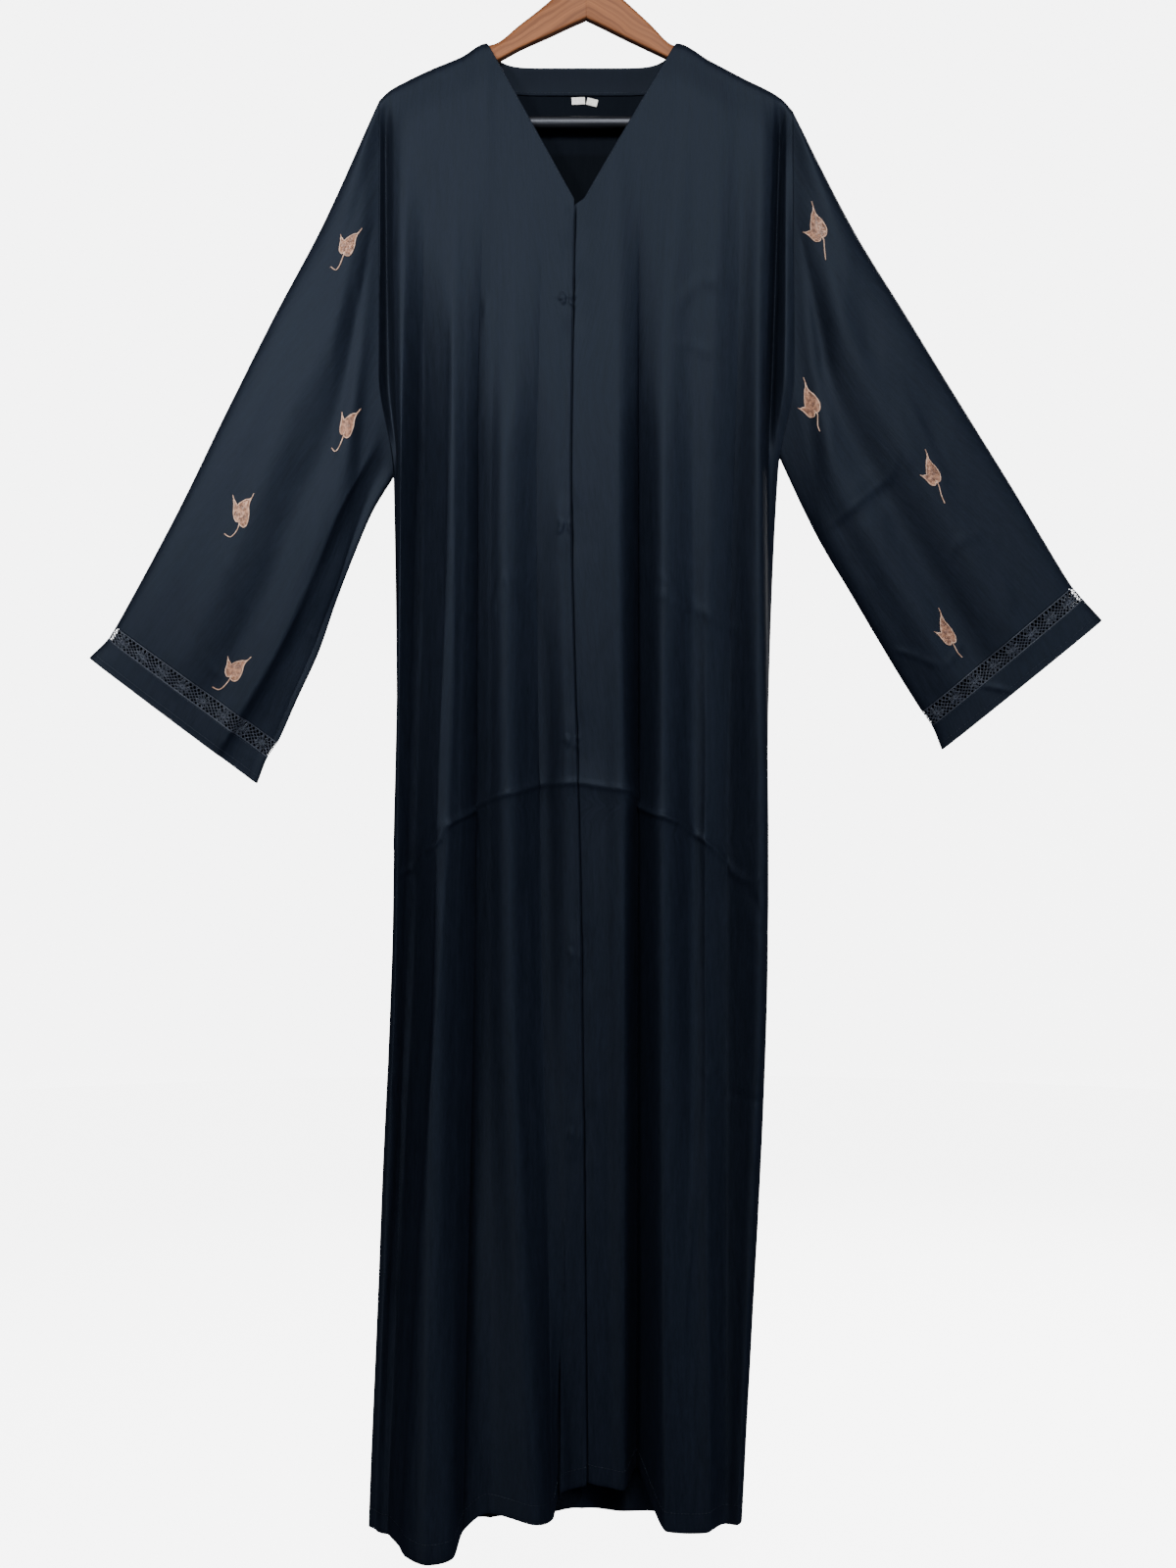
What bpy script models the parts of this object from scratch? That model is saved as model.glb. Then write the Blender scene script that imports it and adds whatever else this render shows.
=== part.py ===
"""Abaya cloak, hanging on its wooden hanger.

Frame: metres, +Z up, origin where the hanger's hook rests on its rail. +X is the wearer's left,
-Y is the front. The tables below are in millimetres: "across" is X, "depth" is Y, and "drop" is
the distance below the hook seat. Every cloth piece is a grid of points on the middle of the cloth,
worked out from the tables and then given its wall.
"""

import math
from collections import namedtuple

import bpy
import numpy as np
from mathutils import Matrix, Vector

# ---- driving dimensions, millimetres ----
MM = 0.001
CLOTH = 1.0  # thickness of every cloth wall
SEAM_GAP = 0.36  # air between two pieces at a seam
ARMHOLE_GAP = 0.7  # a sleeve's extra air at its armhole, whose seam twists over the shoulder
LAID_GAP = 0.3  # air between two pieces that lie on each other
SHOULDER_RADIUS = 9.0  # cloth bent over the hanger's arm
HANG_IN = 50.0  # below the shoulder, the height in which the folds open

NECK_DROP = 132.7  # high point of the shoulder
NECK_RIGHT = -98.4
NECK_LEFT = 86.0
V_DROP = 289.4
V_RIGHT = -12.0
V_LEFT = -6.0
BACK_NECK_DIP = 20.0
BACK_NECK_POWER = 8

FACING_WIDTH = 26.0
FACING_GAP = 0.5
FACING_REACH = 0.93  # share of the back neck's half width
STUD_DIAMETER = 7.0
STUD_THICKNESS = 2.0
STUD_DROPS = (301.0, 385.0, 604.0, 812.0, 1020.0, 1195.0)
STUD_COLUMN = 0.55  # between the front edge and the placket line
LAP_CLOSED = 2.4  # between the middles of the two fronts, where they are sewn together
LAP_TOP_SLOPE = 0.35  # fall of the under front's top edge, where it is hidden
STUD_GAP = 0.45
LAP_FASTENED = CLOTH + STUD_THICKNESS + 2 * STUD_GAP
SEWN_BELOW = 1240.0
LAP_CLOSES_OVER = 30.0

# ---- rows of the body's grids ----
CREST_STEPS = 3  # rows over the hanger's arm
ARM_ROWS = 10  # rows from the shoulder to the armpit
SKIRT_ROWS = 11  # rows from the armpit to the hem
LEVELS = (215.0, 455.0, 545.0, 950.0, 1580.0)  # yoke, chest, armpit, hip, hem

# ---- the folds: where each ridge, valley and edge stands at the five levels ----
# across (a) and depth (d) at yoke, chest, armpit, hip and hem, and the drop of the hem there
Fold = namedtuple("Fold", "name a_yoke a_chest a_pit a_hip a_hem d_yoke d_chest d_pit d_hip d_hem hem")

SEAM_RIGHT = Fold("seam", -202.5, -203, -190, -186, -214, 1, 2, 6, 6, 9, 1572)
SEAM_LEFT = Fold("seam", 198.6, 200, 186, 171, 147, 0, 1, 8, 7, 10, 1572)

FRONT_RIGHT = (
    Fold("edge", -12, -16, -17, -8, -1, -15, -18, -18, -8, 16, 1540),
    Fold("placket", -22, -26, -27, -18, -24, -15, -18, -18, -8, 11, 1547),
    Fold("hollow", -42, -48, -50, -46, -32, -15, -17, -13, 3, -10, 1568),
    Fold("inner_ridge", -70, -78, -80, -78, -54, -14, -20, -24, -22, -31, 1564),
    Fold("inner_slope", -86, -93, -94, -95, -96, -14, -16, -16, -10, -19, 1557),
    Fold("inner_valley", NECK_RIGHT, -106, -107, -110, -121, -13, -13, -10, -1, -25, 1575),
    Fold("fold_wall", -114, -119, -120, -127, -129, -13, -16, -17, -18, -52, 1590),
    Fold("outer_ridge", -132, -134, -135, -147, -152, -13, -21, -26, -36, -62, 1592),
    Fold("outer_valley", -158, -161, -163, -172, -198, -13, -10, -7, -14, -24, 1580),
    Fold("side_ridge", -176, -179, -180, -184, -210, -13, -20, -21, -20, -14, 1575),
    Fold("side_fold", -188, -187, -185, -191, -217, -9, -13, -13, -12, -5, 1574),
    Fold("side_valley", -197, -195, -187, -190, -216, 1, 5, 0, -3, 2, 1573),
    SEAM_RIGHT,
)
FRONT_LEFT = (
    Fold("centre", -2, -7, -8, 1, 8, -12, -15, -15, -6, 18, 1541),
    Fold("plain", 24, 28, 28, 32, 34, -15, -18, -19, -12, 17, 1546),
    Fold("deep_valley", 50, 49, 49, 49, 48, -14, -12, -4, 5, 34, 1531),
    Fold("inner_ridge", NECK_LEFT, 74, 73, 72, 76, -14, -20, -24, -28, -16, 1576),
    Fold("hollow", 106, 102, 102, 104, 102, -14, -15, -14, -8, -19, 1578),
    Fold("small_ridge", 126, 120, 118, 114, 119, -14, -17, -16, -14, -24, 1576),
    Fold("outer_valley", 148, 145, 142, 136, 134, -13, -13, -12, -4, -13, 1573),
    Fold("side_ridge", 167, 163, 163, 165, 145, -13, -20, -22, -22, -13, 1571),
    Fold("side_fold", 179, 172, 171, 174.5, 150, -10, -14, -14, -12, -3, 1570),
    Fold("side_valley", 187, 180, 176, 173.5, 149.5, 3, 7, 1, -3, 3, 1571),
    Fold("armhole_strip", 193, 191, 181, 172.5, 148.5, -5, -11, 4, 2, 7, 1572),
    SEAM_LEFT,
)
BACK = (
    SEAM_RIGHT,
    Fold("right_turn", -192, -192, -183, -181, -208, 12, 19, 17, 18, 22, 1576),
    Fold("right_valley", -160, -158, -156, -158, -178, 13, 17, 15, 14, 14, 1572),
    Fold("right_ridge", -126, -122, -120, -124, -140, 14, 24, 30, 36, 44, 1586),
    Fold("inner_valley_r", NECK_RIGHT, -90, -88, -86, -96, 14, 19, 18, 17, 22, 1572),
    Fold("inner_ridge_r", -54, -52, -50, -48, -52, 15, 24, 30, 38, 60, 1584),
    Fold("centre_valley", -6, -8, -8, -8, -6, 15, 20, 22, 25, 48, 1572),
    Fold("inner_ridge_l", 42, 36, 34, 34, 36, 15, 23, 30, 40, 70, 1584),
    Fold("inner_valley_l", NECK_LEFT, 72, 70, 72, 70, 14, 19, 19, 21, 40, 1572),
    Fold("left_ridge", 112, 106, 102, 102, 98, 14, 24, 30, 36, 44, 1584),
    Fold("left_valley", 146, 140, 136, 134, 120, 13, 17, 16, 15, 16, 1572),
    Fold("left_turn", 188, 186, 174, 162, 140, 12, 19, 19, 18, 21, 1574),
    SEAM_LEFT,
)

# the shoulder's line over the hanger, from the neck to the sleeve
SHOULDER_RIGHT = ((-98.4, 132.7), (-123, 146), (-153, 158.5), (-175, 169), (-193, 179), (-202.5, 188))
SHOULDER_LEFT = ((86, 132.7), (119, 150), (152, 167.3), (179.5, 181), (189, 187.5), (198.6, 198))

# ---- the sleeves: one row for each section, its top and bottom edges and its half depth ----
Section = namedtuple("Section", "name top_across top_drop low_across low_drop half_depth low_depth")
SLEEVE_RIGHT = (
    Section("armhole", -202.5, 188, -190, 553, 6, 6),
    Section("upper", -223.5, 236, -210, 586, 14, 6),
    Section("upper_arm", -258, 312, -228, 628, 20, 6),
    Section("elbow", -303.7, 398, -246.5, 676, 20, 6),
    Section("fore_arm", -351.5, 493, -263, 724, 18, 5),
    Section("wrist", -400, 592, -283, 768, 16, 4),
    Section("lace_top", -458.5, 700, -303, 812, 14, 4),
    Section("lace_end", -466.5, 712.5, -313, 827, 13.5, 4),
    Section("hem", -484.7, 730.5, -323, 852.5, 13, 4),
)
SLEEVE_LEFT = (
    Section("armhole", 198.6, 198, 186, 534, 7, 8),
    Section("upper", 224.5, 251, 204, 572, 14, 8),
    Section("upper_arm", 260, 319, 227, 617, 20, 7),
    Section("elbow", 307.5, 396, 254, 662, 20, 6),
    Section("fore_arm", 356, 475, 279, 705, 18, 5),
    Section("wrist", 408.5, 559.5, 301, 742, 16, 4),
    Section("lace_top", 470, 661, 326, 782, 14, 4),
    Section("lace_end", 481, 674, 336, 796.5, 13.5, 4),
    Section("hem", 499.5, 694, 345.5, 819.5, 13, 4),
)
# soft folds that run down a sleeve: place across its face at the armhole and at the wrist
Drape = namedtuple("Drape", "face at_armhole at_wrist half_width height")
SLEEVE_DRAPES = (
    Drape("front", 0.30, 0.42, 0.12, 4.0),
    Drape("front", 0.55, 0.62, 0.10, -5.0),
    Drape("front", 0.80, 0.80, 0.10, 4.0),
    Drape("back", 0.35, 0.40, 0.14, 5.0),
    Drape("back", 0.65, 0.62, 0.12, -4.0),
)
ARMHOLE_SPREAD = 7.0  # the armhole's half depth
ARMHOLE_ROUND = 60.0  # height in which its two sides meet at the armpit
TOP_EDGE_POWER = 4.0  # a sleeve is creased sharply along its top and softly below
LOW_EDGE_POWER = 2.4
FIT_SECTIONS = 2.5  # sections over which a sleeve leaves the armhole's shape

SLEEVE_STEPS = 10
LACE_REPEATS = 9  # on each face of the sleeve
LACE_CELLS = 2  # cells across and along one repeat
LACE_HOLE = (3.7, 3.3)  # half diagonals of a cell's gap
CUFF_POINTS = 15  # on each face of the sleeve

# ---- the hanger ----
Arm = namedtuple("Arm", "across top drop half_thickness")
HANGER_RIGHT = (
    Arm(-2.0, 68, 109, 7.0),
    Arm(-18, 72, 116, 7.0),
    Arm(-35, 89, 124, 6.8),
    Arm(-66, 114, 138, 6.5),
    Arm(-92, 133.2, 151, 6.4),
)
HANGER_LEFT = (
    Arm(-1.7, 68, 109, 7.0),
    Arm(15, 72, 117, 7.0),
    Arm(35, 90, 127, 6.8),
    Arm(60, 113, 139, 6.5),
    Arm(81, 133.2, 149, 6.4),
)
# beyond the neck the arm follows the shoulder: its depth below the top (None: down to the lug that
# holds the bar), and its half thickness
Tail = namedtuple("Tail", "reach depth half_thickness")
HANGER_TAIL = (
    Tail(104, 18, 6.5),
    Tail(115, 17.5, 6.4),
    Tail(127, 17, 6.4),
    Tail(138, 17, 6.3),
    Tail(149.4, 18, 6.2),
    Tail(150.2, None, 6.2),
    Tail(165, None, 6.0),
    Tail(168, 19, 5.8),
    Tail(179, 15, 4.6),
    Tail(187, 9, 3.0),
)
LUG_UNDER_BAR = 3.0
LOW_EDGE_ROUND = 0.35  # rounding of the arm's lower edges, as a share of its half thickness
CLOTH_OFF_HANGER = 1.5  # from the middle of the cloth to the wood
BAR_RADIUS = 6.0
BAR_DROP = 209.0
BAR_REACH = 149.1
WIRE_RADIUS = 2.0
HOOK_RADIUS = 20.0
HOOK_FOOT = 67.7

# ---- the neck labels, both blank ----
Label = namedtuple("Label", "name across drop width height tilt")
LABELS = (
    Label("neck_label_size", -9.5, 183.9, 13.0, 7.0, -2.0),
    Label("neck_label_care", 4.0, 185.2, 10.5, 7.0, 14.0),
)

BLACK_CLOTH = ((0.012, 0.016, 0.025), 0.55, 0.0)
BLACK_LACE = ((0.010, 0.012, 0.018), 0.60, 0.0)
WHITE_TAPE = ((0.80, 0.79, 0.76), 0.80, 0.0)
RED_WOOD = ((0.32, 0.12, 0.05), 0.35, 0.0)
STEEL = ((0.55, 0.56, 0.58), 0.30, 1.0)
BAR_STEEL = ((0.22, 0.23, 0.25), 0.45, 0.8)


# ---- curves through the tables' rows ----
def row_slopes(knots, values):
    """Slopes that keep every ridge and valley at its own row, without overshoot."""
    step = np.diff(knots)
    rise = np.diff(values, axis=-1) / step
    slopes = np.empty(values.shape)
    slopes[..., 0] = rise[..., 0]
    slopes[..., -1] = rise[..., -1]
    before, after = rise[..., :-1], rise[..., 1:]
    weight_before = 2 * step[1:] + step[:-1]
    weight_after = step[1:] + 2 * step[:-1]
    same_way = before * after > 0
    safe_before = np.where(same_way, before, 1.0)
    safe_after = np.where(same_way, after, 1.0)
    mean = (weight_before + weight_after) / (weight_before / safe_before + weight_after / safe_after)
    slopes[..., 1:-1] = np.where(same_way, mean, 0.0)
    return slopes


def through(knots, values, at):
    """Smooth curve through values at the knots; values (..., K) and at (...) broadcast together."""
    knots = np.asarray(knots, float)
    values = np.asarray(values, float)
    at = np.clip(np.asarray(at, float), knots[0], knots[-1])
    shape = np.broadcast_shapes(values.shape[:-1], at.shape)
    slopes = np.broadcast_to(row_slopes(knots, values), shape + knots.shape)
    values = np.broadcast_to(values, shape + knots.shape)
    at = np.broadcast_to(at, shape)
    i = np.clip(np.searchsorted(knots, at, side="right") - 1, 0, len(knots) - 2)
    width = (knots[1:] - knots[:-1])[i]
    t = (at - knots[i]) / width

    def pick(table, index):
        return np.take_along_axis(table, index[..., None], axis=-1)[..., 0]

    start, end = pick(values, i), pick(values, i + 1)
    leave, arrive = pick(slopes, i) * width, pick(slopes, i + 1) * width
    t2, t3 = t * t, t * t * t
    return (
        start * (2 * t3 - 3 * t2 + 1)
        + leave * (t3 - 2 * t2 + t)
        + end * (3 * t2 - 2 * t3)
        + arrive * (t3 - t2)
    )


def ease(t):
    """0 to 1 with no corner at either end."""
    t = np.clip(t, 0.0, 1.0)
    return t * t * (3 - 2 * t)


# ---- the body's surfaces ----
def shoulder_drop(across):
    """Drop of the shoulder's line; inside the neck it stays at the neck point."""
    right = np.array(SHOULDER_RIGHT[::-1])
    left = np.array(SHOULDER_LEFT)
    line = np.concatenate([right, left])
    return through(line[:, 0], line[:, 1], across)


def armhole_open(drop, armpit):
    """1 along the armhole, rounding off to 0 at the armpit."""
    return np.sqrt(np.clip((armpit - drop) / ARMHOLE_ROUND, 0.0, 1.0))


def body_points(folds, fold_at, drop, side, armpits):
    """Points of a front (side -1) or the back (side +1).

    fold_at is the place between the table's rows, and armpits has the armpit's drop for the first
    and the last row where that row is an armhole's seam, or None.
    """
    fold_at, drop = np.broadcast_arrays(np.asarray(fold_at, float), np.asarray(drop, float))
    across_rows = np.array([row[1:6] for row in folds], float)
    depth_rows = np.array([row[6:11] for row in folds], float)
    across = through(LEVELS, across_rows, drop[..., None])
    depth = through(LEVELS, depth_rows, drop[..., None])
    for end, armpit in zip((0, -1), armpits):
        if armpit is not None:
            depth[..., end] += side * ARMHOLE_SPREAD * armhole_open(drop, armpit)
    rows = np.arange(len(folds), dtype=float)
    x = through(rows, across, fold_at)
    y = through(rows, depth, fold_at)
    below = drop - shoulder_drop(x)
    over_arm = 1 - np.clip(below / SHOULDER_RADIUS, 0.0, 1.0)
    bent = side * SHOULDER_RADIUS * np.sqrt(1 - over_arm**2)
    y = bent + (y - side * SHOULDER_RADIUS) * ease(below / HANG_IN)
    return np.stack([x, y, -drop], axis=-1)


def fold_at_across(folds, across):
    """The place between the table's rows that lies at this distance across at the yoke."""
    fine = np.linspace(0, len(folds) - 1, 40 * len(folds))
    rows = np.arange(len(folds), dtype=float)
    line = through(rows, np.array([row.a_yoke for row in folds], float), fine)
    if line[0] > line[-1]:
        line, fine = line[::-1], fine[::-1]
    return np.interp(across, line, fine)


def hem_drop(folds, fold_at):
    return through(np.arange(len(folds), dtype=float), np.array([row.hem for row in folds], float), fold_at)


def back_neck_line(across):
    middle, half = (NECK_LEFT + NECK_RIGHT) / 2, (NECK_LEFT - NECK_RIGHT) / 2
    share = np.clip(np.abs(across - middle) / half, 0.0, 1.0)
    return NECK_DROP + BACK_NECK_DIP * (1 - share**BACK_NECK_POWER)


def crest_drops():
    """How far below the shoulder's line each row over the hanger's arm is."""
    angles = np.linspace(0, math.pi / 2, CREST_STEPS + 1)
    return SHOULDER_RADIUS * (1 - np.cos(angles))


def row_drops(top, armpit, hem):
    """Drops of one column's rows, from its top edge over the arm and the armpit's row to the hem."""
    crest = top + crest_drops()
    yoke = np.linspace(crest[-1], armpit, ARM_ROWS - CREST_STEPS + 1)[1:]
    skirt = np.linspace(armpit, hem, SKIRT_ROWS + 1)[1:]
    return np.concatenate([crest, yoke, skirt])


def grid_from_columns(folds, top_at, low_at, top_line, side, armpits):
    """A panel's grid, its rows down and its columns across.

    A column stands at top_at at its top edge, and spreads to low_at a little below it.
    """
    columns = []
    armpit_side = [a for a in armpits if a is not None]
    for top, low in zip(top_at, low_at):
        drop = NECK_DROP
        for _ in range(6):
            drop = float(top_line(body_points(folds, top, drop, side, armpits)[0]))
        share = low / (len(folds) - 1)
        armpit = armpit_side[0] if len(armpit_side) == 1 else np.interp(share, (0, 1), armpit_side)
        drops = row_drops(drop, armpit, float(hem_drop(folds, low)))
        at = top + (low - top) * ease((drops - drop) / (armpit - drop))
        columns.append(body_points(folds, at, drops, side, armpits))
    return np.stack(columns, axis=1)


# ---- the sleeves' surface ----
def face_curve(angle):
    """Place across a sleeve's face (0 at its top edge, 1 at its lower edge) and its share of the depth."""
    power = np.where(angle < math.pi / 2, TOP_EDGE_POWER, LOW_EDGE_POWER)
    cosine, sine = np.cos(angle), np.abs(np.sin(angle))
    place = 0.5 * (1 - np.sign(cosine) * np.abs(cosine) ** (2 / power))
    return place, sine ** (2 / power)


def sleeve_points(sections, at, angle, face):
    """Points of a sleeve's front (face -1) or back (face +1), at a place between its sections."""
    at, angle = np.broadcast_arrays(np.asarray(at, float), np.asarray(angle, float))
    knots = np.arange(len(sections), dtype=float)
    rows = np.array([row[1:] for row in sections], float)
    top_x, top_drop, low_x, low_drop, half, low_depth = (
        through(knots, rows[:, k], at) for k in range(rows.shape[1])
    )
    place, share = face_curve(angle)
    x = top_x + (low_x - top_x) * place
    drop = top_drop + (low_drop - top_drop) * place
    y = low_depth * ease((place - 0.4) / 0.6) + face * half * share
    length = len(sections) - 3.0
    fade = ease(at / 2.0) * ease((length + 1.5 - at) / 2.5)
    for drape in SLEEVE_DRAPES:
        if (drape.face == "front") == (face < 0):
            centre = drape.at_armhole + (drape.at_wrist - drape.at_armhole) * np.clip(at / length, 0, 1)
            swell = np.exp(-(((place - centre) / drape.half_width) ** 2))
            y = y + face * drape.height * swell * share * fade
    return np.stack([x, y, -drop], axis=-1)


def sleeve_grid(sections, armhole):
    """Loops of points from the armhole's own loop down to the lace."""
    angles = np.linspace(0, math.pi, ARM_ROWS + 1)
    stations = np.linspace(0, len(sections) - 3.0, SLEEVE_STEPS + 1)

    def loop(at):
        front = sleeve_points(sections, at, angles, -1)
        back = sleeve_points(sections, at, angles, 1)
        return np.concatenate([front, back[-2:0:-1]])

    misfit = armhole - loop(0.0)
    return np.stack([loop(at) + misfit * (1 - ease(at / FIT_SECTIONS)) for at in stations])


def even_angles(sections, at, face, count):
    """Angles that divide a sleeve's face into equal lengths."""
    fine = np.linspace(0, math.pi, 721)
    line = sleeve_points(sections, at, fine, face)
    run = np.concatenate([[0], np.cumsum(np.linalg.norm(np.diff(line, axis=0), axis=1))])
    return np.interp(np.linspace(0, run[-1], count), run, fine)


# ---- walls ----
def grid_normals(points, closed):
    """Unit normals of a grid; closed where its columns go all round."""
    down = np.gradient(points, axis=0)
    if closed:
        along = np.roll(points, -1, axis=1) - np.roll(points, 1, axis=1)
    else:
        along = np.gradient(points, axis=1)
    normal = np.cross(down, along)
    return normal / np.linalg.norm(normal, axis=-1, keepdims=True)


class Sheet:
    """One cloth piece: its middle surface as a grid, and which way is out."""

    def __init__(self, name, points, closed=False, flip=False):
        self.name = name
        self.points = points
        self.closed = closed
        self.normals = grid_normals(points, closed) * (-1.0 if flip else 1.0)
        self.flip = flip


def share_normals(sheets):
    """Pieces that meet at a seam get the same normal there, so their walls meet in one plane."""
    totals = {}
    keys = [np.round(sheet.points * 1000).astype(int) for sheet in sheets]
    for sheet, key in zip(sheets, keys):
        for spot, normal in zip(key.reshape(-1, 3), sheet.normals.reshape(-1, 3)):
            totals.setdefault(tuple(spot), []).append(normal)
    for sheet, key in zip(sheets, keys):
        flat = sheet.normals.reshape(-1, 3)
        for i, spot in enumerate(key.reshape(-1, 3)):
            total = np.sum(totals[tuple(spot)], axis=0)
            flat[i] = total / np.linalg.norm(total)


def draw_in(sheet, edges, gap=SEAM_GAP):
    """Moves the named edges in by half a seam's gap, along the cloth."""
    moved = sheet.points.copy()
    choices = {
        "top": (np.s_[0, :], np.s_[1, :]),
        "low": (np.s_[-1, :], np.s_[-2, :]),
        "first": (np.s_[:, 0], np.s_[:, 1]),
        "last": (np.s_[:, -1], np.s_[:, -2]),
    }
    for edge in edges:
        border, inner = choices[edge]
        line = sheet.points[border]
        if sheet.closed:
            along = np.roll(line, -1, axis=0) - np.roll(line, 1, axis=0)
        else:
            along = np.gradient(line, axis=0)
        along /= np.linalg.norm(along, axis=1, keepdims=True)
        inward = sheet.points[inner] - line
        inward -= (inward * along).sum(axis=1, keepdims=True) * along
        inward /= np.linalg.norm(inward, axis=1, keepdims=True)
        moved[border] += inward * gap / 2
    sheet.points = moved


def wall_mesh(sheet, holes=False):
    """Vertices and faces of the closed wall around a sheet; holes cuts a gap into every cell."""
    rows, columns = sheet.points.shape[:2]
    half = sheet.normals * CLOTH / 2
    layers = [sheet.points + half, sheet.points - half]
    vertices = [layer.reshape(-1, 3) for layer in layers]
    count = rows * columns
    faces = []

    def at(layer, row, column):
        return layer * count + row * columns + column % columns

    across = range(columns if sheet.closed else columns - 1)
    extra = []
    for row in range(rows - 1):
        for column in across:
            corners = [(row, column), (row, column + 1), (row + 1, column + 1), (row + 1, column)]
            if not holes:
                faces.append([at(0, *c) for c in corners])
                faces.append([at(1, *c) for c in corners[::-1]])
                continue
            rims = []
            for layer in (0, 1):
                quad = np.array([layers[layer][c] for c in corners])
                middle = quad.mean(axis=0)
                to_side = (quad[1] + quad[2]) / 2 - middle
                to_low = (quad[2] + quad[3]) / 2 - middle
                side_step = to_side / np.linalg.norm(to_side) * LACE_HOLE[0]
                low_step = to_low / np.linalg.norm(to_low) * LACE_HOLE[1]
                first = 2 * count + len(extra)
                extra.extend([middle - low_step, middle + side_step, middle + low_step, middle - side_step])
                rim = [first + k for k in range(4)]
                rims.append(rim)
                outer = [at(layer, *c) for c in corners]
                for k in range(4):
                    cell_side = [outer[k], outer[(k + 1) % 4], rim[k]]
                    cell_corner = [outer[(k + 1) % 4], rim[(k + 1) % 4], rim[k]]
                    for face in (cell_side, cell_corner):
                        faces.append(face if layer == 0 else face[::-1])
            for k in range(4):
                faces.append([rims[0][k], rims[0][(k + 1) % 4], rims[1][(k + 1) % 4], rims[1][k]])
    for column in across:
        faces.append([at(0, 0, column + 1), at(0, 0, column), at(1, 0, column), at(1, 0, column + 1)])
        end = rows - 1
        faces.append([at(0, end, column), at(0, end, column + 1), at(1, end, column + 1), at(1, end, column)])
    if not sheet.closed:
        end = columns - 1
        for row in range(rows - 1):
            faces.append([at(0, row, 0), at(0, row + 1, 0), at(1, row + 1, 0), at(1, row, 0)])
            faces.append([at(0, row + 1, end), at(0, row, end), at(1, row, end), at(1, row + 1, end)])
    if extra:
        vertices.append(np.array(extra))
    if not sheet.flip:
        faces = [face[::-1] for face in faces]
    return np.concatenate(vertices), faces


# ---- Blender objects ----
def clear_scene():
    for item in list(bpy.data.objects):
        bpy.data.objects.remove(item, do_unlink=True)


def material(name, finish):
    colour, roughness, metallic = finish
    made = bpy.data.materials.new(name)
    made.use_nodes = True
    shader = made.node_tree.nodes["Principled BSDF"]
    shader.inputs["Base Color"].default_value = (*colour, 1.0)
    shader.inputs["Roughness"].default_value = roughness
    shader.inputs["Metallic"].default_value = metallic
    made.diffuse_color = (*colour, 1.0)
    return made


def add_mesh(name, vertices, faces, finish, smooth=True):
    """One named object from points in millimetres."""
    mesh = bpy.data.meshes.new(name)
    mesh.from_pydata([tuple(p * MM) for p in np.asarray(vertices, float)], [], [list(f) for f in faces])
    mesh.update()
    if smooth:
        mesh.shade_smooth()
        mesh.set_sharp_from_angle(angle=math.radians(50))
    item = bpy.data.objects.new(name, mesh)
    item.data.materials.append(material(name, finish))
    bpy.context.scene.collection.objects.link(item)
    return item


def add_sheet(sheet, finish, holes=False):
    vertices, faces = wall_mesh(sheet, holes)
    return add_mesh(sheet.name, vertices, faces, finish)


def lofted(rings):
    """Vertices and faces of a closed body through rings of equal count, with flat ends."""
    rings = np.asarray(rings, float)
    count, size = rings.shape[:2]
    faces = [list(range(size))[::-1], [(count - 1) * size + k for k in range(size)]]
    for ring in range(count - 1):
        for k in range(size):
            a, b = ring * size + k, ring * size + (k + 1) % size
            faces.append([a, b, b + size, a + size])
    return rings.reshape(-1, 3), faces


# ---- the pieces ----
ARMPIT_RIGHT = SLEEVE_RIGHT[0].low_drop
ARMPIT_LEFT = SLEEVE_LEFT[0].low_drop
RIGHT_ARMPITS = (None, ARMPIT_RIGHT)
LEFT_ARMPITS = (None, ARMPIT_LEFT)


def fold_index(folds, name):
    return [row.name for row in folds].index(name)


RIGHT_NECK_FOLD = fold_index(FRONT_RIGHT, "inner_valley")
LEFT_NECK_FOLD = fold_index(FRONT_LEFT, "inner_ridge")
RIGHT_SHOULDER = 2 * (len(FRONT_RIGHT) - 1 - RIGHT_NECK_FOLD) + 1  # columns on each shoulder
LEFT_SHOULDER = 2 * (len(FRONT_LEFT) - 1 - LEFT_NECK_FOLD) + 1
RIGHT_PLACES = (0.0, 0.55, 1.0, 1.5, 2.0, 2.5, 3.0, 3.5, 4.0, 4.35, 4.7)
LEFT_PLACES = (0.0, 0.5, 1.0, 1.5, 2.0, 2.3, 2.5, 2.75)
LAP_PLACES = (1.5, 1.0, 0.55, 0.0)  # places on the right front under which the left front lies
LAP_NARROWS = 0.4  # by this much of a place towards the hem
LAP_NARROWS_FROM = 1000.0
LAP_NARROWS_OVER = 350.0
UNDER_HEM = 2.0  # the under front's hem, above the upper one's


def neck_slope(neck, point):
    return (V_DROP - NECK_DROP) / (point - neck)


def neckline(across, neck, point):
    """Top edge of a front: its V inside the neck point, and the shoulder's line outside."""
    outside = abs(across) >= abs(neck) - 1e-6 and across * neck > 0
    return shoulder_drop(across) if outside else NECK_DROP + (across - neck) * neck_slope(neck, point)


def front_grid(folds, places, neck, columns_on_shoulder, neck_across, v_across, armpits):
    """A front; the columns just inside the neck start where the V bends over the hanger's arm."""
    low = list(places) + list(np.linspace(neck, len(folds) - 1, columns_on_shoulder))
    top = list(low)
    for step, fall in enumerate(crest_drops()[1:], start=1):
        across = neck_across + fall / neck_slope(neck_across, v_across)
        top[len(places) - step] = float(fold_at_across(folds, across))
    return grid_from_columns(
        folds, top, low, lambda x: neckline(x, neck_across, v_across), -1, armpits
    )


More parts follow.
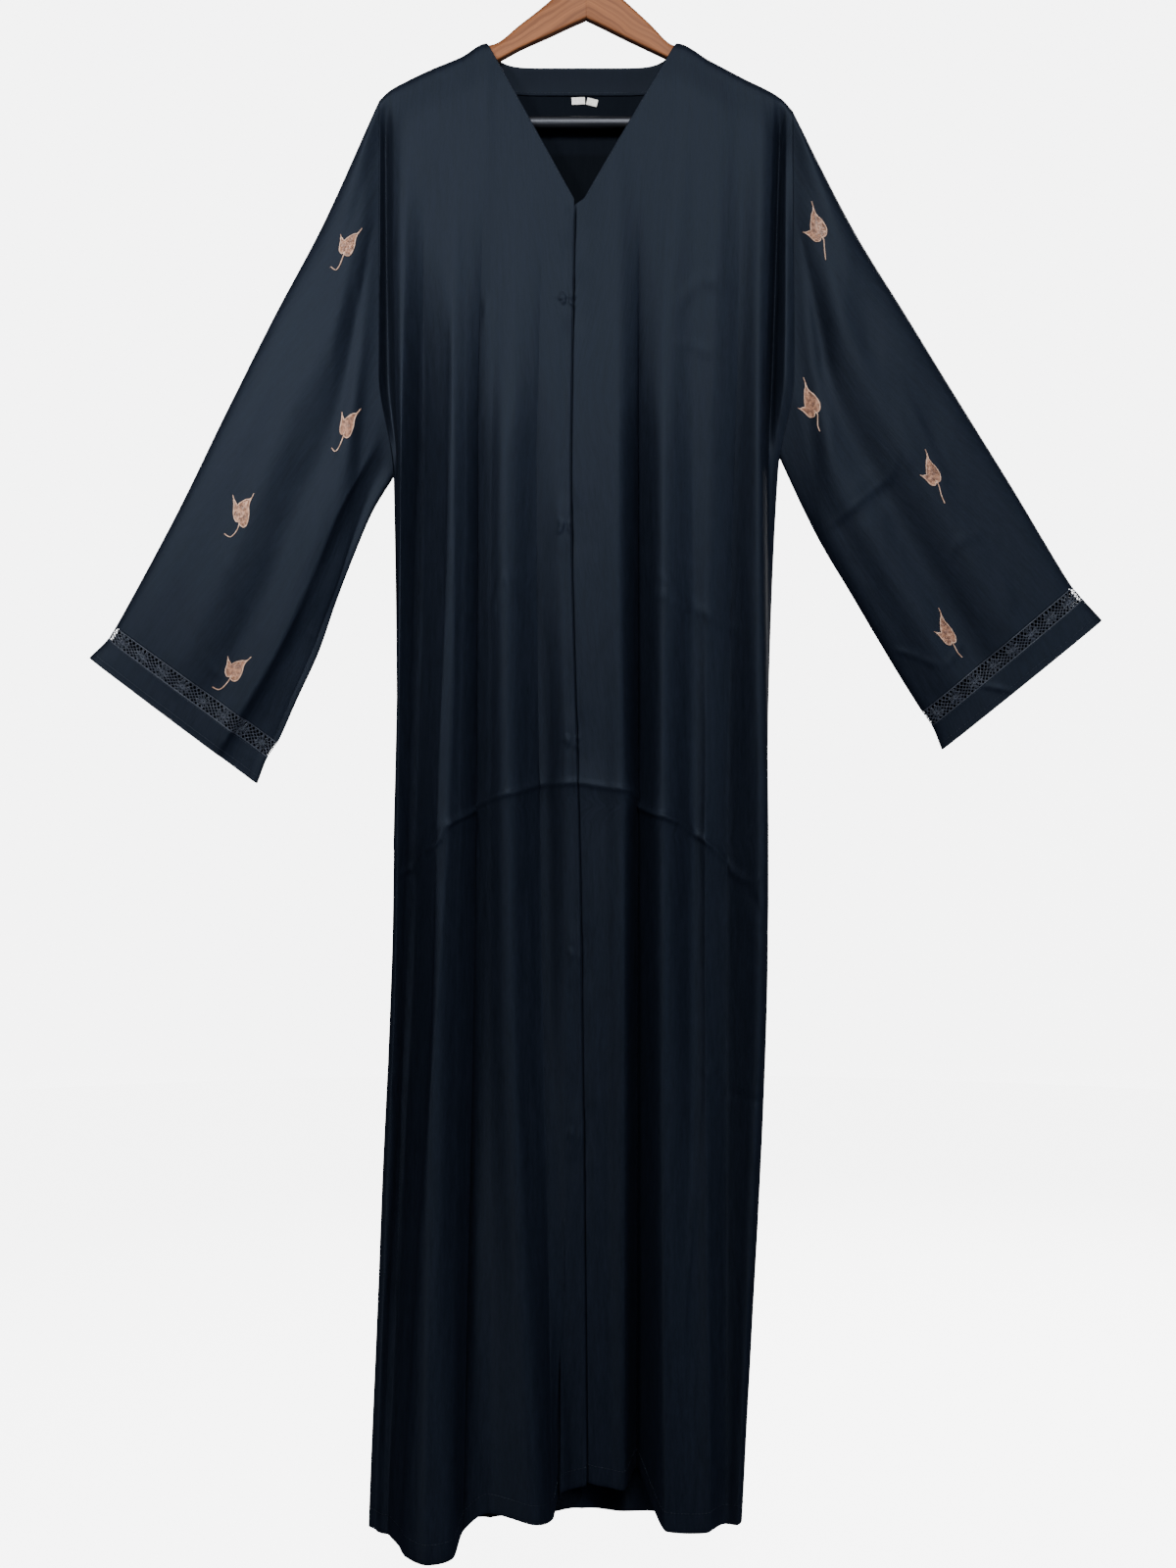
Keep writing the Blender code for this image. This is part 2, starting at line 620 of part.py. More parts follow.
def lap_gap(drop):
    """Distance between the middles of the two fronts where they lap."""
    return LAP_FASTENED + (LAP_CLOSED - LAP_FASTENED) * ease((drop - SEWN_BELOW) / LAP_CLOSES_OVER)


def right_front_inside(place, drops):
    """Points of the right front, and the directions that lead straight to its inside."""
    here = body_points(FRONT_RIGHT, place, drops, -1, RIGHT_ARMPITS)
    aside = body_points(FRONT_RIGHT, place + 0.05, drops, -1, RIGHT_ARMPITS)
    lower = body_points(FRONT_RIGHT, place, np.asarray(drops) + 1.0, -1, RIGHT_ARMPITS)
    inward = np.cross(lower - here, aside - here)
    inward /= np.linalg.norm(inward, axis=-1, keepdims=True)
    return here, inward * np.sign(inward[..., 1:2])


def under_lap_column(place):
    """One column of the left front where it lies under the right one."""
    across = float(body_points(FRONT_RIGHT, place, V_DROP, -1, RIGHT_ARMPITS)[0])
    top = V_DROP + LAP_TOP_SLOPE * (V_LEFT - across)
    drops = row_drops(top, ARMPIT_LEFT, float(hem_drop(FRONT_RIGHT, place)) - UNDER_HEM)
    narrowed = LAP_NARROWS * ease((drops - LAP_NARROWS_FROM) / LAP_NARROWS_OVER)
    place = np.minimum(place, LAP_PLACES[0] - narrowed)
    here, inward = right_front_inside(place, drops)
    return here + inward * lap_gap(drops)[:, None]


def back_grid(right_shoulder, left_shoulder):
    """The back; its shoulder columns start where the fronts' columns do."""
    neck_r, neck_l = fold_index(BACK, "inner_valley_r"), fold_index(BACK, "inner_valley_l")
    half = (NECK_LEFT - NECK_RIGHT) / 2
    falls = crest_drops()[1:]
    steps = half * (1 - (1 - falls / BACK_NECK_DIP) ** (1 / BACK_NECK_POWER))
    between = np.linspace(neck_r + 1, neck_l - 1, 2 * (neck_l - neck_r - 2) + 1)
    beside_neck = np.array([0.2, 0.45, 0.7])
    low = np.concatenate([
        np.linspace(0, neck_r, len(right_shoulder)),
        neck_r + beside_neck,
        between,
        neck_l - beside_neck[::-1],
        np.linspace(neck_l, len(BACK) - 1, len(left_shoulder)),
    ])
    top = np.concatenate([
        fold_at_across(BACK, right_shoulder[::-1]),
        fold_at_across(BACK, NECK_RIGHT + steps),
        between,
        fold_at_across(BACK, NECK_LEFT - steps[::-1]),
        fold_at_across(BACK, left_shoulder),
    ])

    def top_line(across):
        inside = NECK_RIGHT < across < NECK_LEFT
        return back_neck_line(across) if inside else shoulder_drop(across)

    return grid_from_columns(BACK, top, low, top_line, 1, (ARMPIT_RIGHT, ARMPIT_LEFT))


def body_sheets():
    """The two fronts and the back, which share their seams' points."""
    right = front_grid(
        FRONT_RIGHT, RIGHT_PLACES, RIGHT_NECK_FOLD, RIGHT_SHOULDER, NECK_RIGHT, V_RIGHT, RIGHT_ARMPITS
    )
    shown = front_grid(
        FRONT_LEFT, LEFT_PLACES, LEFT_NECK_FOLD, LEFT_SHOULDER, NECK_LEFT, V_LEFT, LEFT_ARMPITS
    )
    lap = np.stack([under_lap_column(place) for place in LAP_PLACES], axis=1)
    left = np.concatenate([lap, shown], axis=1)
    back = back_grid(right[0, -RIGHT_SHOULDER:, 0], left[0, -LEFT_SHOULDER:, 0])
    back[ARM_ROWS:, 0] = right[ARM_ROWS:, -1]
    back[ARM_ROWS:, -1] = left[ARM_ROWS:, -1]
    back[0, :RIGHT_SHOULDER] = right[0, -RIGHT_SHOULDER:][::-1]
    back[0, -LEFT_SHOULDER:] = left[0, -LEFT_SHOULDER:]
    return (
        Sheet("front_right", right, flip=True),
        Sheet("front_left", left),
        Sheet("back", back, flip=True),
    )


def sleeve_sheet(name, sections, front, back_column, flip):
    """A sleeve that starts at the armhole's own points."""
    armhole = np.concatenate([front[: ARM_ROWS + 1, -1], back_column[ARM_ROWS - 1 : 0 : -1]])
    return Sheet(name, sleeve_grid(sections, armhole), closed=True, flip=flip)


def lace_sheets(side, sections, flip):
    """The lace round one sleeve, in a front half and a back half."""
    first = len(sections) - 3.0
    stations = np.linspace(first, first + 1, LACE_CELLS + 1)[:, None]
    halves = []
    for face, where in ((-1, "front"), (1, "back")):
        angles = even_angles(sections, first + 0.5, face, LACE_CELLS * LACE_REPEATS + 1)
        points = sleeve_points(sections, stations, angles, face)
        halves.append(Sheet(f"lace_{side}_{where}", points, flip=flip if face < 0 else not flip))
    return halves


def cuff_sheet(side, sections, flip):
    first = len(sections) - 2.0
    front_angles = even_angles(sections, first, -1, CUFF_POINTS + 1)
    back_angles = even_angles(sections, first, 1, CUFF_POINTS + 1)
    rows = []
    for at in (first, first + 0.5, first + 1):
        front = sleeve_points(sections, at, front_angles, -1)
        back = sleeve_points(sections, at, back_angles, 1)
        rows.append(np.concatenate([front, back[-2:0:-1]]))
    return Sheet(f"cuff_{side}", np.stack(rows), closed=True, flip=flip)


def facing_sheet(back):
    """The strip that faces the back neck: the back's own points, moved to its inside."""
    middle, half = (NECK_LEFT + NECK_RIGHT) / 2, (NECK_LEFT - NECK_RIGHT) / 2
    top = back.points[0, :, 0]
    columns = np.flatnonzero(np.abs(top - middle) <= FACING_REACH * half)
    points = back.points[: CREST_STEPS + 2, columns]
    normals = back.normals[: CREST_STEPS + 2, columns]
    run = points[0, :, 2] - points[:, :, 2]
    share = (FACING_WIDTH - run[-2]) / (run[-1] - run[-2])
    low_point = points[-2] + (points[-1] - points[-2]) * share[:, None]
    low_normal = normals[-2] + (normals[-1] - normals[-2]) * share[:, None]
    points = np.concatenate([points[:-1], low_point[None]])
    normals = np.concatenate([normals[:-1], low_normal[None]])
    return Sheet("back_neck_facing", points - normals * (CLOTH + FACING_GAP), flip=True)


# ---- fastenings, labels and hanger ----
def box_rings(width, height, thickness):
    """A plate in the XZ plane, as two rings."""
    corners = [(-width / 2, -height / 2), (width / 2, -height / 2)]
    corners += [(width / 2, height / 2), (-width / 2, height / 2)]
    return [[(x, y, z) for x, z in corners] for y in (thickness / 2, -thickness / 2)]


def add_label(label, back):
    """A blank tape label that hangs below the facing, on the inside of the back."""
    near = np.abs(back.points[CREST_STEPS, :, 0] - label.across) < 30.0
    low, high = back.points[CREST_STEPS, near], back.points[CREST_STEPS + 1, near]
    top = label.drop - label.height / 2
    share = (low[:, 2].mean() + top) / (low[:, 2].mean() - high[:, 2].mean())
    depth = (low[:, 1] + (high[:, 1] - low[:, 1]) * share).min() - CLOTH - LAID_GAP
    vertices, faces = lofted(box_rings(label.width, label.height, CLOTH))
    turn = Matrix.Rotation(math.radians(label.tilt), 3, "Y")
    centre = Vector((label.across, depth, -label.drop))
    placed = [turn @ Vector(p) + centre for p in vertices]
    add_mesh(label.name, placed, faces, WHITE_TAPE, smooth=False)


def add_stud(number, drop):
    """One press stud, fastened, between the two fronts."""
    here, inward = right_front_inside(STUD_COLUMN, drop)
    centre = here + inward * LAP_FASTENED / 2
    axis = Vector(inward)
    turn = axis.to_track_quat("Z", "Y").to_matrix()
    profile = (
        (-STUD_THICKNESS / 2, 0.78),
        (-STUD_THICKNESS / 4, 1.0),
        (STUD_THICKNESS / 4, 1.0),
        (STUD_THICKNESS / 2, 0.78),
    )
    around = np.linspace(0, 2 * math.pi, 8, endpoint=False)
    rings = []
    for height, share in profile:
        radius = share * STUD_DIAMETER / 2
        ring = [(radius * math.cos(a), radius * math.sin(a), height) for a in around]
        rings.append([turn @ Vector(p) + Vector(centre) for p in ring])
    vertices, faces = lofted(rings)
    add_mesh(f"press_stud_{number}", vertices, faces, STEEL)


def add_arm(name, neck_rows, side):
    """One half of the wooden hanger, from the middle joint to its tip."""
    rows = [(row.across, row.top, row.drop, row.half_thickness) for row in neck_rows]
    for tail in HANGER_TAIL:
        across = side * tail.reach
        top = float(shoulder_drop(across)) + CLOTH_OFF_HANGER
        low = BAR_DROP + BAR_RADIUS + LUG_UNDER_BAR if tail.depth is None else top + tail.depth
        rows.append((across, top, low, tail.half_thickness))
    rings = []
    for across, top, low, half in rows:
        round_top = [math.radians(a) for a in range(0, 181, 36)]
        ring = [(half * math.cos(a), half * math.sin(a) - top - half) for a in round_top]
        soft = LOW_EDGE_ROUND * half
        ring += [(-half, soft - low), (soft - half, -low), (half - soft, -low), (half, soft - low)]
        ring = [(across, y, z) for y, z in ring]
        rings.append(ring if side > 0 else ring[::-1])
    vertices, faces = lofted(rings)
    add_mesh(name, vertices, faces, RED_WOOD)


def add_bar():
    around = np.linspace(0, 2 * math.pi, 12, endpoint=False)
    rings = []
    for x in (-BAR_REACH, BAR_REACH):
        ring = [(x, BAR_RADIUS * math.cos(a), BAR_RADIUS * math.sin(a) - BAR_DROP) for a in around]
        rings.append(ring)
    vertices, faces = lofted(rings)
    add_mesh("hanger_bar", vertices, faces, BAR_STEEL)


def hook_line():
    """The wire's middle: up out of the wood, out to one side, over the rail and down to its tip."""
    centre_drop = HOOK_RADIUS - WIRE_RADIUS
    points = [(0.0, -HOOK_FOOT), (0.0, -HOOK_FOOT + 12)]
    points += [(3.5, -46.0), (11.0, -37.0), (17.5, -28.5)]
    for angle in np.linspace(-8, 200, 15):
        a = math.radians(angle)
        points.append((HOOK_RADIUS * math.cos(a), HOOK_RADIUS * math.sin(a) - centre_drop))
    points.append((-15.5, -31.0))
    return points


def add_hook():
    line = hook_line()
    curve = bpy.data.curves.new("hanger_hook", "CURVE")
    curve.dimensions = "3D"
    curve.bevel_depth = WIRE_RADIUS * MM
    curve.bevel_resolution = 2
    curve.use_fill_caps = True
    spline = curve.splines.new("POLY")
    spline.points.add(len(line) - 1)
    for point, (x, z) in zip(spline.points, line):
        point.co = (x * MM, 0.0, z * MM, 1.0)
    spline.use_smooth = True
    item = bpy.data.objects.new("hanger_hook", curve)
    item.data.materials.append(material("hanger_hook", STEEL))
    bpy.context.scene.collection.objects.link(item)


def main():
    clear_scene()
    front_right, front_left, back = body_sheets()
    sleeve_right = sleeve_sheet(
        "sleeve_right", SLEEVE_RIGHT, front_right.points, back.points[:, 0], flip=False
    )
    sleeve_left = sleeve_sheet("sleeve_left", SLEEVE_LEFT, front_left.points, back.points[:, -1], flip=True)
    lace = lace_sheets("right", SLEEVE_RIGHT, False) + lace_sheets("left", SLEEVE_LEFT, True)
    cuffs = [cuff_sheet("right", SLEEVE_RIGHT, False), cuff_sheet("left", SLEEVE_LEFT, True)]
    share_normals([front_right, front_left, back, sleeve_right, sleeve_left])
    share_normals(lace)
    facing = facing_sheet(back)

    draw_in(front_right, ("top", "last"))
    draw_in(front_left, ("top", "last"))
    draw_in(back, ("top", "first", "last"))
    for sleeve in (sleeve_right, sleeve_left):
        draw_in(sleeve, ("top",), ARMHOLE_GAP)
        draw_in(sleeve, ("low",))
    for half in lace:
        draw_in(half, ("top", "low", "first", "last"))
    for cuff in cuffs:
        draw_in(cuff, ("top",))

    for sheet in (front_right, front_left, back, sleeve_right, sleeve_left, facing, *cuffs):
        add_sheet(sheet, BLACK_CLOTH)
    for half in lace:
        add_sheet(half, BLACK_LACE, holes=True)
    for label in LABELS:
        add_label(label, back)
    for number, drop in enumerate(STUD_DROPS, start=1):
        add_stud(number, drop)
    add_arm("hanger_arm_right", HANGER_RIGHT, -1)
    add_arm("hanger_arm_left", HANGER_LEFT, 1)
    add_bar()
    add_hook()


main()
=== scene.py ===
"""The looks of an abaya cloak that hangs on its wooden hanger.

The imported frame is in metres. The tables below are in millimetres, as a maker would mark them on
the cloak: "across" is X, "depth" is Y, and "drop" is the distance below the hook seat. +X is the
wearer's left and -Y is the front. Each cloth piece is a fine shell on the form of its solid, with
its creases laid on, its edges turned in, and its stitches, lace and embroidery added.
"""

import math
from collections import namedtuple

import bpy
import numpy as np
from mathutils import Matrix, Vector
from mathutils.bvhtree import BVHTree


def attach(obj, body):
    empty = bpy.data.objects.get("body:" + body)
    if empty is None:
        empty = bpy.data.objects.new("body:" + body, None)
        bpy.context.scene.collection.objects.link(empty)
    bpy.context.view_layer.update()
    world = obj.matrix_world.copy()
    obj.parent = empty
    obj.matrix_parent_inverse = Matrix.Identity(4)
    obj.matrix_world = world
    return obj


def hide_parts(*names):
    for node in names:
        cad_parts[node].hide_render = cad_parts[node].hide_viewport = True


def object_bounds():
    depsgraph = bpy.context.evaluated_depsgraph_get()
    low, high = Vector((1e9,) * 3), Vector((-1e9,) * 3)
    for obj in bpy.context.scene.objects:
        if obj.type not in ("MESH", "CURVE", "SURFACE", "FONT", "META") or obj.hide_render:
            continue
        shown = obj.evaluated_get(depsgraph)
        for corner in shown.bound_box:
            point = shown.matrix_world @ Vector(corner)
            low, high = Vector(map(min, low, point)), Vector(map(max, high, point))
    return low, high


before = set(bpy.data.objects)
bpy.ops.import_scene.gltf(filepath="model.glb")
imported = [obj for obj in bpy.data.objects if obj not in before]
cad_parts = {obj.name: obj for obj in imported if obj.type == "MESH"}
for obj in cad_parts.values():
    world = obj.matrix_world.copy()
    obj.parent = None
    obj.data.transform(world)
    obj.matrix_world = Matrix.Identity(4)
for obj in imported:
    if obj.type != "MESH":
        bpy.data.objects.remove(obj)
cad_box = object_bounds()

# ---- driving dimensions, millimetres ----
MM = 0.001
CLOTH = 1.0  # thickness of every cloth wall
LAID_GAP = 0.3  # air between two pieces that lie on each other
SHOULDER_RADIUS = 9.0  # cloth bent over the hanger's arm
HANG_IN = 50.0  # below the shoulder, the height in which the folds open

NECK_DROP = 132.7  # high point of the shoulder
NECK_RIGHT = -98.4
NECK_LEFT = 86.0
V_DROP = 289.4
V_RIGHT = -12.0
V_LEFT = -6.0
BACK_NECK_DIP = 20.0
BACK_NECK_POWER = 8

FACING_WIDTH = 26.0
FACING_GAP = 0.5
FACING_REACH = 0.93  # share of the back neck's half width
STUD_THICKNESS = 2.0
STUD_DROPS = (301.0, 385.0, 604.0, 812.0, 1020.0, 1195.0)
STUD_COLUMN = 0.55  # between the front edge and the placket line
LAP_CLOSED = 2.4  # between the middles of the two fronts, where they are sewn together
LAP_TOP_SLOPE = 0.35  # fall of the under front's top edge, where it is hidden
STUD_GAP = 0.45
LAP_FASTENED = CLOTH + STUD_THICKNESS + 2 * STUD_GAP
SEWN_BELOW = 1240.0
LAP_CLOSES_OVER = 30.0

# ---- the folds: where each ridge, valley and edge stands at the five levels ----
# across (a) and depth (d) at yoke, chest, armpit, hip and hem, and the drop of the hem there
LEVELS = (215.0, 455.0, 545.0, 950.0, 1580.0)
Fold = namedtuple("Fold", "name a_yoke a_chest a_pit a_hip a_hem d_yoke d_chest d_pit d_hip d_hem hem")

SEAM_RIGHT = Fold("seam", -202.5, -203, -190, -186, -214, 1, 2, 6, 6, 9, 1572)
SEAM_LEFT = Fold("seam", 198.6, 200, 186, 171, 147, 0, 1, 8, 7, 10, 1572)

FRONT_RIGHT = (
    Fold("edge", -12, -16, -17, -8, -1, -15, -18, -18, -8, 16, 1540),
    Fold("placket", -22, -26, -27, -18, -24, -15, -18, -18, -8, 11, 1547),
    Fold("hollow", -42, -48, -50, -46, -32, -15, -17, -13, 3, -10, 1568),
    Fold("inner_ridge", -70, -78, -80, -78, -54, -14, -20, -24, -22, -31, 1564),
    Fold("inner_slope", -86, -93, -94, -95, -96, -14, -16, -16, -10, -19, 1557),
    Fold("inner_valley", NECK_RIGHT, -106, -107, -110, -121, -13, -13, -10, -1, -25, 1575),
    Fold("fold_wall", -114, -119, -120, -127, -129, -13, -16, -17, -18, -52, 1590),
    Fold("outer_ridge", -132, -134, -135, -147, -152, -13, -21, -26, -36, -62, 1592),
    Fold("outer_valley", -158, -161, -163, -172, -198, -13, -10, -7, -14, -24, 1580),
    Fold("side_ridge", -176, -179, -180, -184, -210, -13, -20, -21, -20, -14, 1575),
    Fold("side_fold", -188, -187, -185, -191, -217, -9, -13, -13, -12, -5, 1574),
    Fold("side_valley", -197, -195, -187, -190, -216, 1, 5, 0, -3, 2, 1573),
    SEAM_RIGHT,
)
FRONT_LEFT = (
    Fold("centre", -2, -7, -8, 1, 8, -12, -15, -15, -6, 18, 1541),
    Fold("plain", 24, 28, 28, 32, 34, -15, -18, -19, -12, 17, 1546),
    Fold("deep_valley", 50, 49, 49, 49, 48, -14, -12, -4, 5, 34, 1531),
    Fold("inner_ridge", NECK_LEFT, 74, 73, 72, 76, -14, -20, -24, -28, -16, 1576),
    Fold("hollow", 106, 102, 102, 104, 102, -14, -15, -14, -8, -19, 1578),
    Fold("small_ridge", 126, 120, 118, 114, 119, -14, -17, -16, -14, -24, 1576),
    Fold("outer_valley", 148, 145, 142, 136, 134, -13, -13, -12, -4, -13, 1573),
    Fold("side_ridge", 167, 163, 163, 165, 145, -13, -20, -22, -22, -13, 1571),
    Fold("side_fold", 179, 172, 171, 174.5, 150, -10, -14, -14, -12, -3, 1570),
    Fold("side_valley", 187, 180, 176, 173.5, 149.5, 3, 7, 1, -3, 3, 1571),
    Fold("armhole_strip", 193, 191, 181, 172.5, 148.5, -5, -11, 4, 2, 7, 1572),
    SEAM_LEFT,
)
BACK = (
    SEAM_RIGHT,
    Fold("right_turn", -192, -192, -183, -181, -208, 12, 19, 17, 18, 22, 1576),
    Fold("right_valley", -160, -158, -156, -158, -178, 13, 17, 15, 14, 14, 1572),
    Fold("right_ridge", -126, -122, -120, -124, -140, 14, 24, 30, 36, 44, 1586),
    Fold("inner_valley_r", NECK_RIGHT, -90, -88, -86, -96, 14, 19, 18, 17, 22, 1572),
    Fold("inner_ridge_r", -54, -52, -50, -48, -52, 15, 24, 30, 38, 60, 1584),
    Fold("centre_valley", -6, -8, -8, -8, -6, 15, 20, 22, 25, 48, 1572),
    Fold("inner_ridge_l", 42, 36, 34, 34, 36, 15, 23, 30, 40, 70, 1584),
    Fold("inner_valley_l", NECK_LEFT, 72, 70, 72, 70, 14, 19, 19, 21, 40, 1572),
    Fold("left_ridge", 112, 106, 102, 102, 98, 14, 24, 30, 36, 44, 1584),
    Fold("left_valley", 146, 140, 136, 134, 120, 13, 17, 16, 15, 16, 1572),
    Fold("left_turn", 188, 186, 174, 162, 140, 12, 19, 19, 18, 21, 1574),
    SEAM_LEFT,
)

# the shoulder's line over the hanger, from the neck to the sleeve
SHOULDER_RIGHT = ((-98.4, 132.7), (-123, 146), (-153, 158.5), (-175, 169), (-193, 179), (-202.5, 188))
SHOULDER_LEFT = ((86, 132.7), (119, 150), (152, 167.3), (179.5, 181), (189, 187.5), (198.6, 198))

# ---- the sleeves: one row for each section, its top and bottom edges and its half depth ----
Section = namedtuple("Section", "name top_across top_drop low_across low_drop half_depth low_depth")
SLEEVE_RIGHT = (
    Section("armhole", -202.5, 188, -190, 553, 6, 6),
    Section("upper", -223.5, 236, -210, 586, 14, 6),
    Section("upper_arm", -258, 312, -228, 628, 20, 6),
    Section("elbow", -303.7, 398, -246.5, 676, 20, 6),
    Section("fore_arm", -351.5, 493, -263, 724, 18, 5),
    Section("wrist", -400, 592, -283, 768, 16, 4),
    Section("lace_top", -458.5, 700, -303, 812, 14, 4),
    Section("lace_end", -466.5, 712.5, -313, 827, 13.5, 4),
    Section("hem", -484.7, 730.5, -323, 852.5, 13, 4),
)
SLEEVE_LEFT = (
    Section("armhole", 198.6, 198, 186, 534, 7, 8),
    Section("upper", 224.5, 251, 204, 572, 14, 8),
    Section("upper_arm", 260, 319, 227, 617, 20, 7),
    Section("elbow", 307.5, 396, 254, 662, 20, 6),
    Section("fore_arm", 356, 475, 279, 705, 18, 5),
    Section("wrist", 408.5, 559.5, 301, 742, 16, 4),
    Section("lace_top", 470, 661, 326, 782, 14, 4),
    Section("lace_end", 481, 674, 336, 796.5, 13.5, 4),
    Section("hem", 499.5, 694, 345.5, 819.5, 13, 4),
)
# soft folds that run down a sleeve: place across its face at the armhole and at the wrist
Drape = namedtuple("Drape", "face at_armhole at_wrist half_width height")
SLEEVE_DRAPES = (
    Drape("front", 0.30, 0.42, 0.12, 4.0),
    Drape("front", 0.55, 0.62, 0.10, -5.0),
    Drape("front", 0.80, 0.80, 0.10, 4.0),
    Drape("back", 0.35, 0.40, 0.14, 5.0),
    Drape("back", 0.65, 0.62, 0.12, -4.0),
)
ARMHOLE_SPREAD = 7.0  # the armhole's half depth
ARMHOLE_ROUND = 60.0  # height in which its two sides meet at the armpit
TOP_EDGE_POWER = 4.0  # a sleeve is creased sharply along its top and softly below
LOW_EDGE_POWER = 2.4
FIT_SECTIONS = 2.5  # sections over which a sleeve leaves the armhole's shape

LACE_REPEATS = 9  # on each face of the sleeve

# ---- the hanger ----
Arm = namedtuple("Arm", "across top drop half_thickness")
HANGER_RIGHT = (
    Arm(-2.0, 68, 109, 7.0),
    Arm(-18, 72, 116, 7.0),
    Arm(-35, 89, 124, 6.8),
    Arm(-66, 114, 138, 6.5),
    Arm(-92, 133.2, 151, 6.4),
)
HANGER_LEFT = (
    Arm(-1.7, 68, 109, 7.0),
    Arm(15, 72, 117, 7.0),
    Arm(35, 90, 127, 6.8),
    Arm(60, 113, 139, 6.5),
    Arm(81, 133.2, 149, 6.4),
)
# beyond the neck the arm follows the shoulder: its depth below the top (None: down to the lug that
# holds the bar), and its half thickness
Tail = namedtuple("Tail", "reach depth half_thickness")
HANGER_TAIL = (
    Tail(104, 18, 6.5),
    Tail(115, 17.5, 6.4),
    Tail(127, 17, 6.4),
    Tail(138, 17, 6.3),
    Tail(149.4, 18, 6.2),
    Tail(150.2, None, 6.2),
    Tail(165, None, 6.0),
    Tail(168, 19, 5.8),
    Tail(179, 15, 4.6),
    Tail(187, 9, 3.0),
)
LUG_UNDER_BAR = 3.0
LOW_EDGE_ROUND = 0.35  # rounding of the arm's lower edges, as a share of its half thickness
CLOTH_OFF_HANGER = 1.5  # from the middle of the cloth to the wood
BAR_RADIUS = 6.0
BAR_DROP = 209.0
BAR_REACH = 149.1
WIRE_RADIUS = 2.0
HOOK_RADIUS = 20.0
HOOK_FOOT = 67.7

# ---- the neck labels, both blank ----
Label = namedtuple("Label", "name across drop width height tilt")
LABELS = (
    Label("neck_label_size", -9.5, 183.9, 13.0, 7.0, -2.0),
    Label("neck_label_care", 4.0, 185.2, 10.5, 7.0, 14.0),
)

# ---- the looks' own values ----
LAP_PLACES = (1.5, 0.0)  # places on the right front under which the left front lies
LAP_NARROWS = 0.4  # by this much of a place towards the hem
LAP_NARROWS_FROM = 1000.0
LAP_NARROWS_OVER = 350.0
UNDER_HEM = 2.0  # the under front's hem is this much higher than the upper one's
LAP_FALLS_IN = 1.1  # how far the right front's band falls in between two studs
LAP_COMES_OUT = 1.0  # how far the left front comes out to meet it


# ---- curves through the tables' rows ----
def row_slopes(knots, values):
    """Slopes that keep every ridge and valley at its own row, without overshoot."""
    step = np.diff(knots)
    rise = np.diff(values, axis=-1) / step
    slopes = np.empty(values.shape)
    slopes[..., 0] = rise[..., 0]
    slopes[..., -1] = rise[..., -1]
    before, after = rise[..., :-1], rise[..., 1:]
    weight_before = 2 * step[1:] + step[:-1]
    weight_after = step[1:] + 2 * step[:-1]
    same_way = before * after > 0
    safe_before = np.where(same_way, before, 1.0)
    safe_after = np.where(same_way, after, 1.0)
    mean = (weight_before + weight_after) / (weight_before / safe_before + weight_after / safe_after)
    slopes[..., 1:-1] = np.where(same_way, mean, 0.0)
    return slopes


def through(knots, values, at):
    """Smooth curve through values at the knots; values (..., K) and at (...) broadcast together."""
    knots = np.asarray(knots, float)
    values = np.asarray(values, float)
    at = np.clip(np.asarray(at, float), knots[0], knots[-1])
    shape = np.broadcast_shapes(values.shape[:-1], at.shape)
    slopes = np.broadcast_to(row_slopes(knots, values), shape + knots.shape)
    values = np.broadcast_to(values, shape + knots.shape)
    at = np.broadcast_to(at, shape)
    i = np.clip(np.searchsorted(knots, at, side="right") - 1, 0, len(knots) - 2)
    width = (knots[1:] - knots[:-1])[i]
    t = (at - knots[i]) / width

    def pick(table, index):
        return np.take_along_axis(table, index[..., None], axis=-1)[..., 0]

    start, end = pick(values, i), pick(values, i + 1)
    leave, arrive = pick(slopes, i) * width, pick(slopes, i + 1) * width
    t2, t3 = t * t, t * t * t
    return (
        start * (2 * t3 - 3 * t2 + 1)
        + leave * (t3 - 2 * t2 + t)
        + end * (3 * t2 - 2 * t3)
        + arrive * (t3 - t2)
    )


def ease(t):
    """0 to 1 with no corner at either end."""
    t = np.clip(t, 0.0, 1.0)
    return t * t * (3 - 2 * t)


def unit(vectors):
    """The same directions, one unit long."""
    return vectors / np.maximum(np.linalg.norm(vectors, axis=-1, keepdims=True), 1e-9)


def run_along(points, axis=0):
    """Distance run along a line of points, or along an axis of a grid, from its start."""
    steps = np.linalg.norm(np.diff(points, axis=axis), axis=-1)
    return np.insert(np.cumsum(steps, axis=axis), 0, 0.0, axis=axis)


# ---- the body's surfaces ----
def shoulder_drop(across):
    """Drop of the shoulder's line; inside the neck it stays at the neck point."""
    line = np.array(SHOULDER_RIGHT[::-1] + SHOULDER_LEFT)
    return through(line[:, 0], line[:, 1], across)


def armhole_open(drop, armpit):
    """1 along the armhole, rounding off to 0 at the armpit."""
    return np.sqrt(np.clip((armpit - drop) / ARMHOLE_ROUND, 0.0, 1.0))


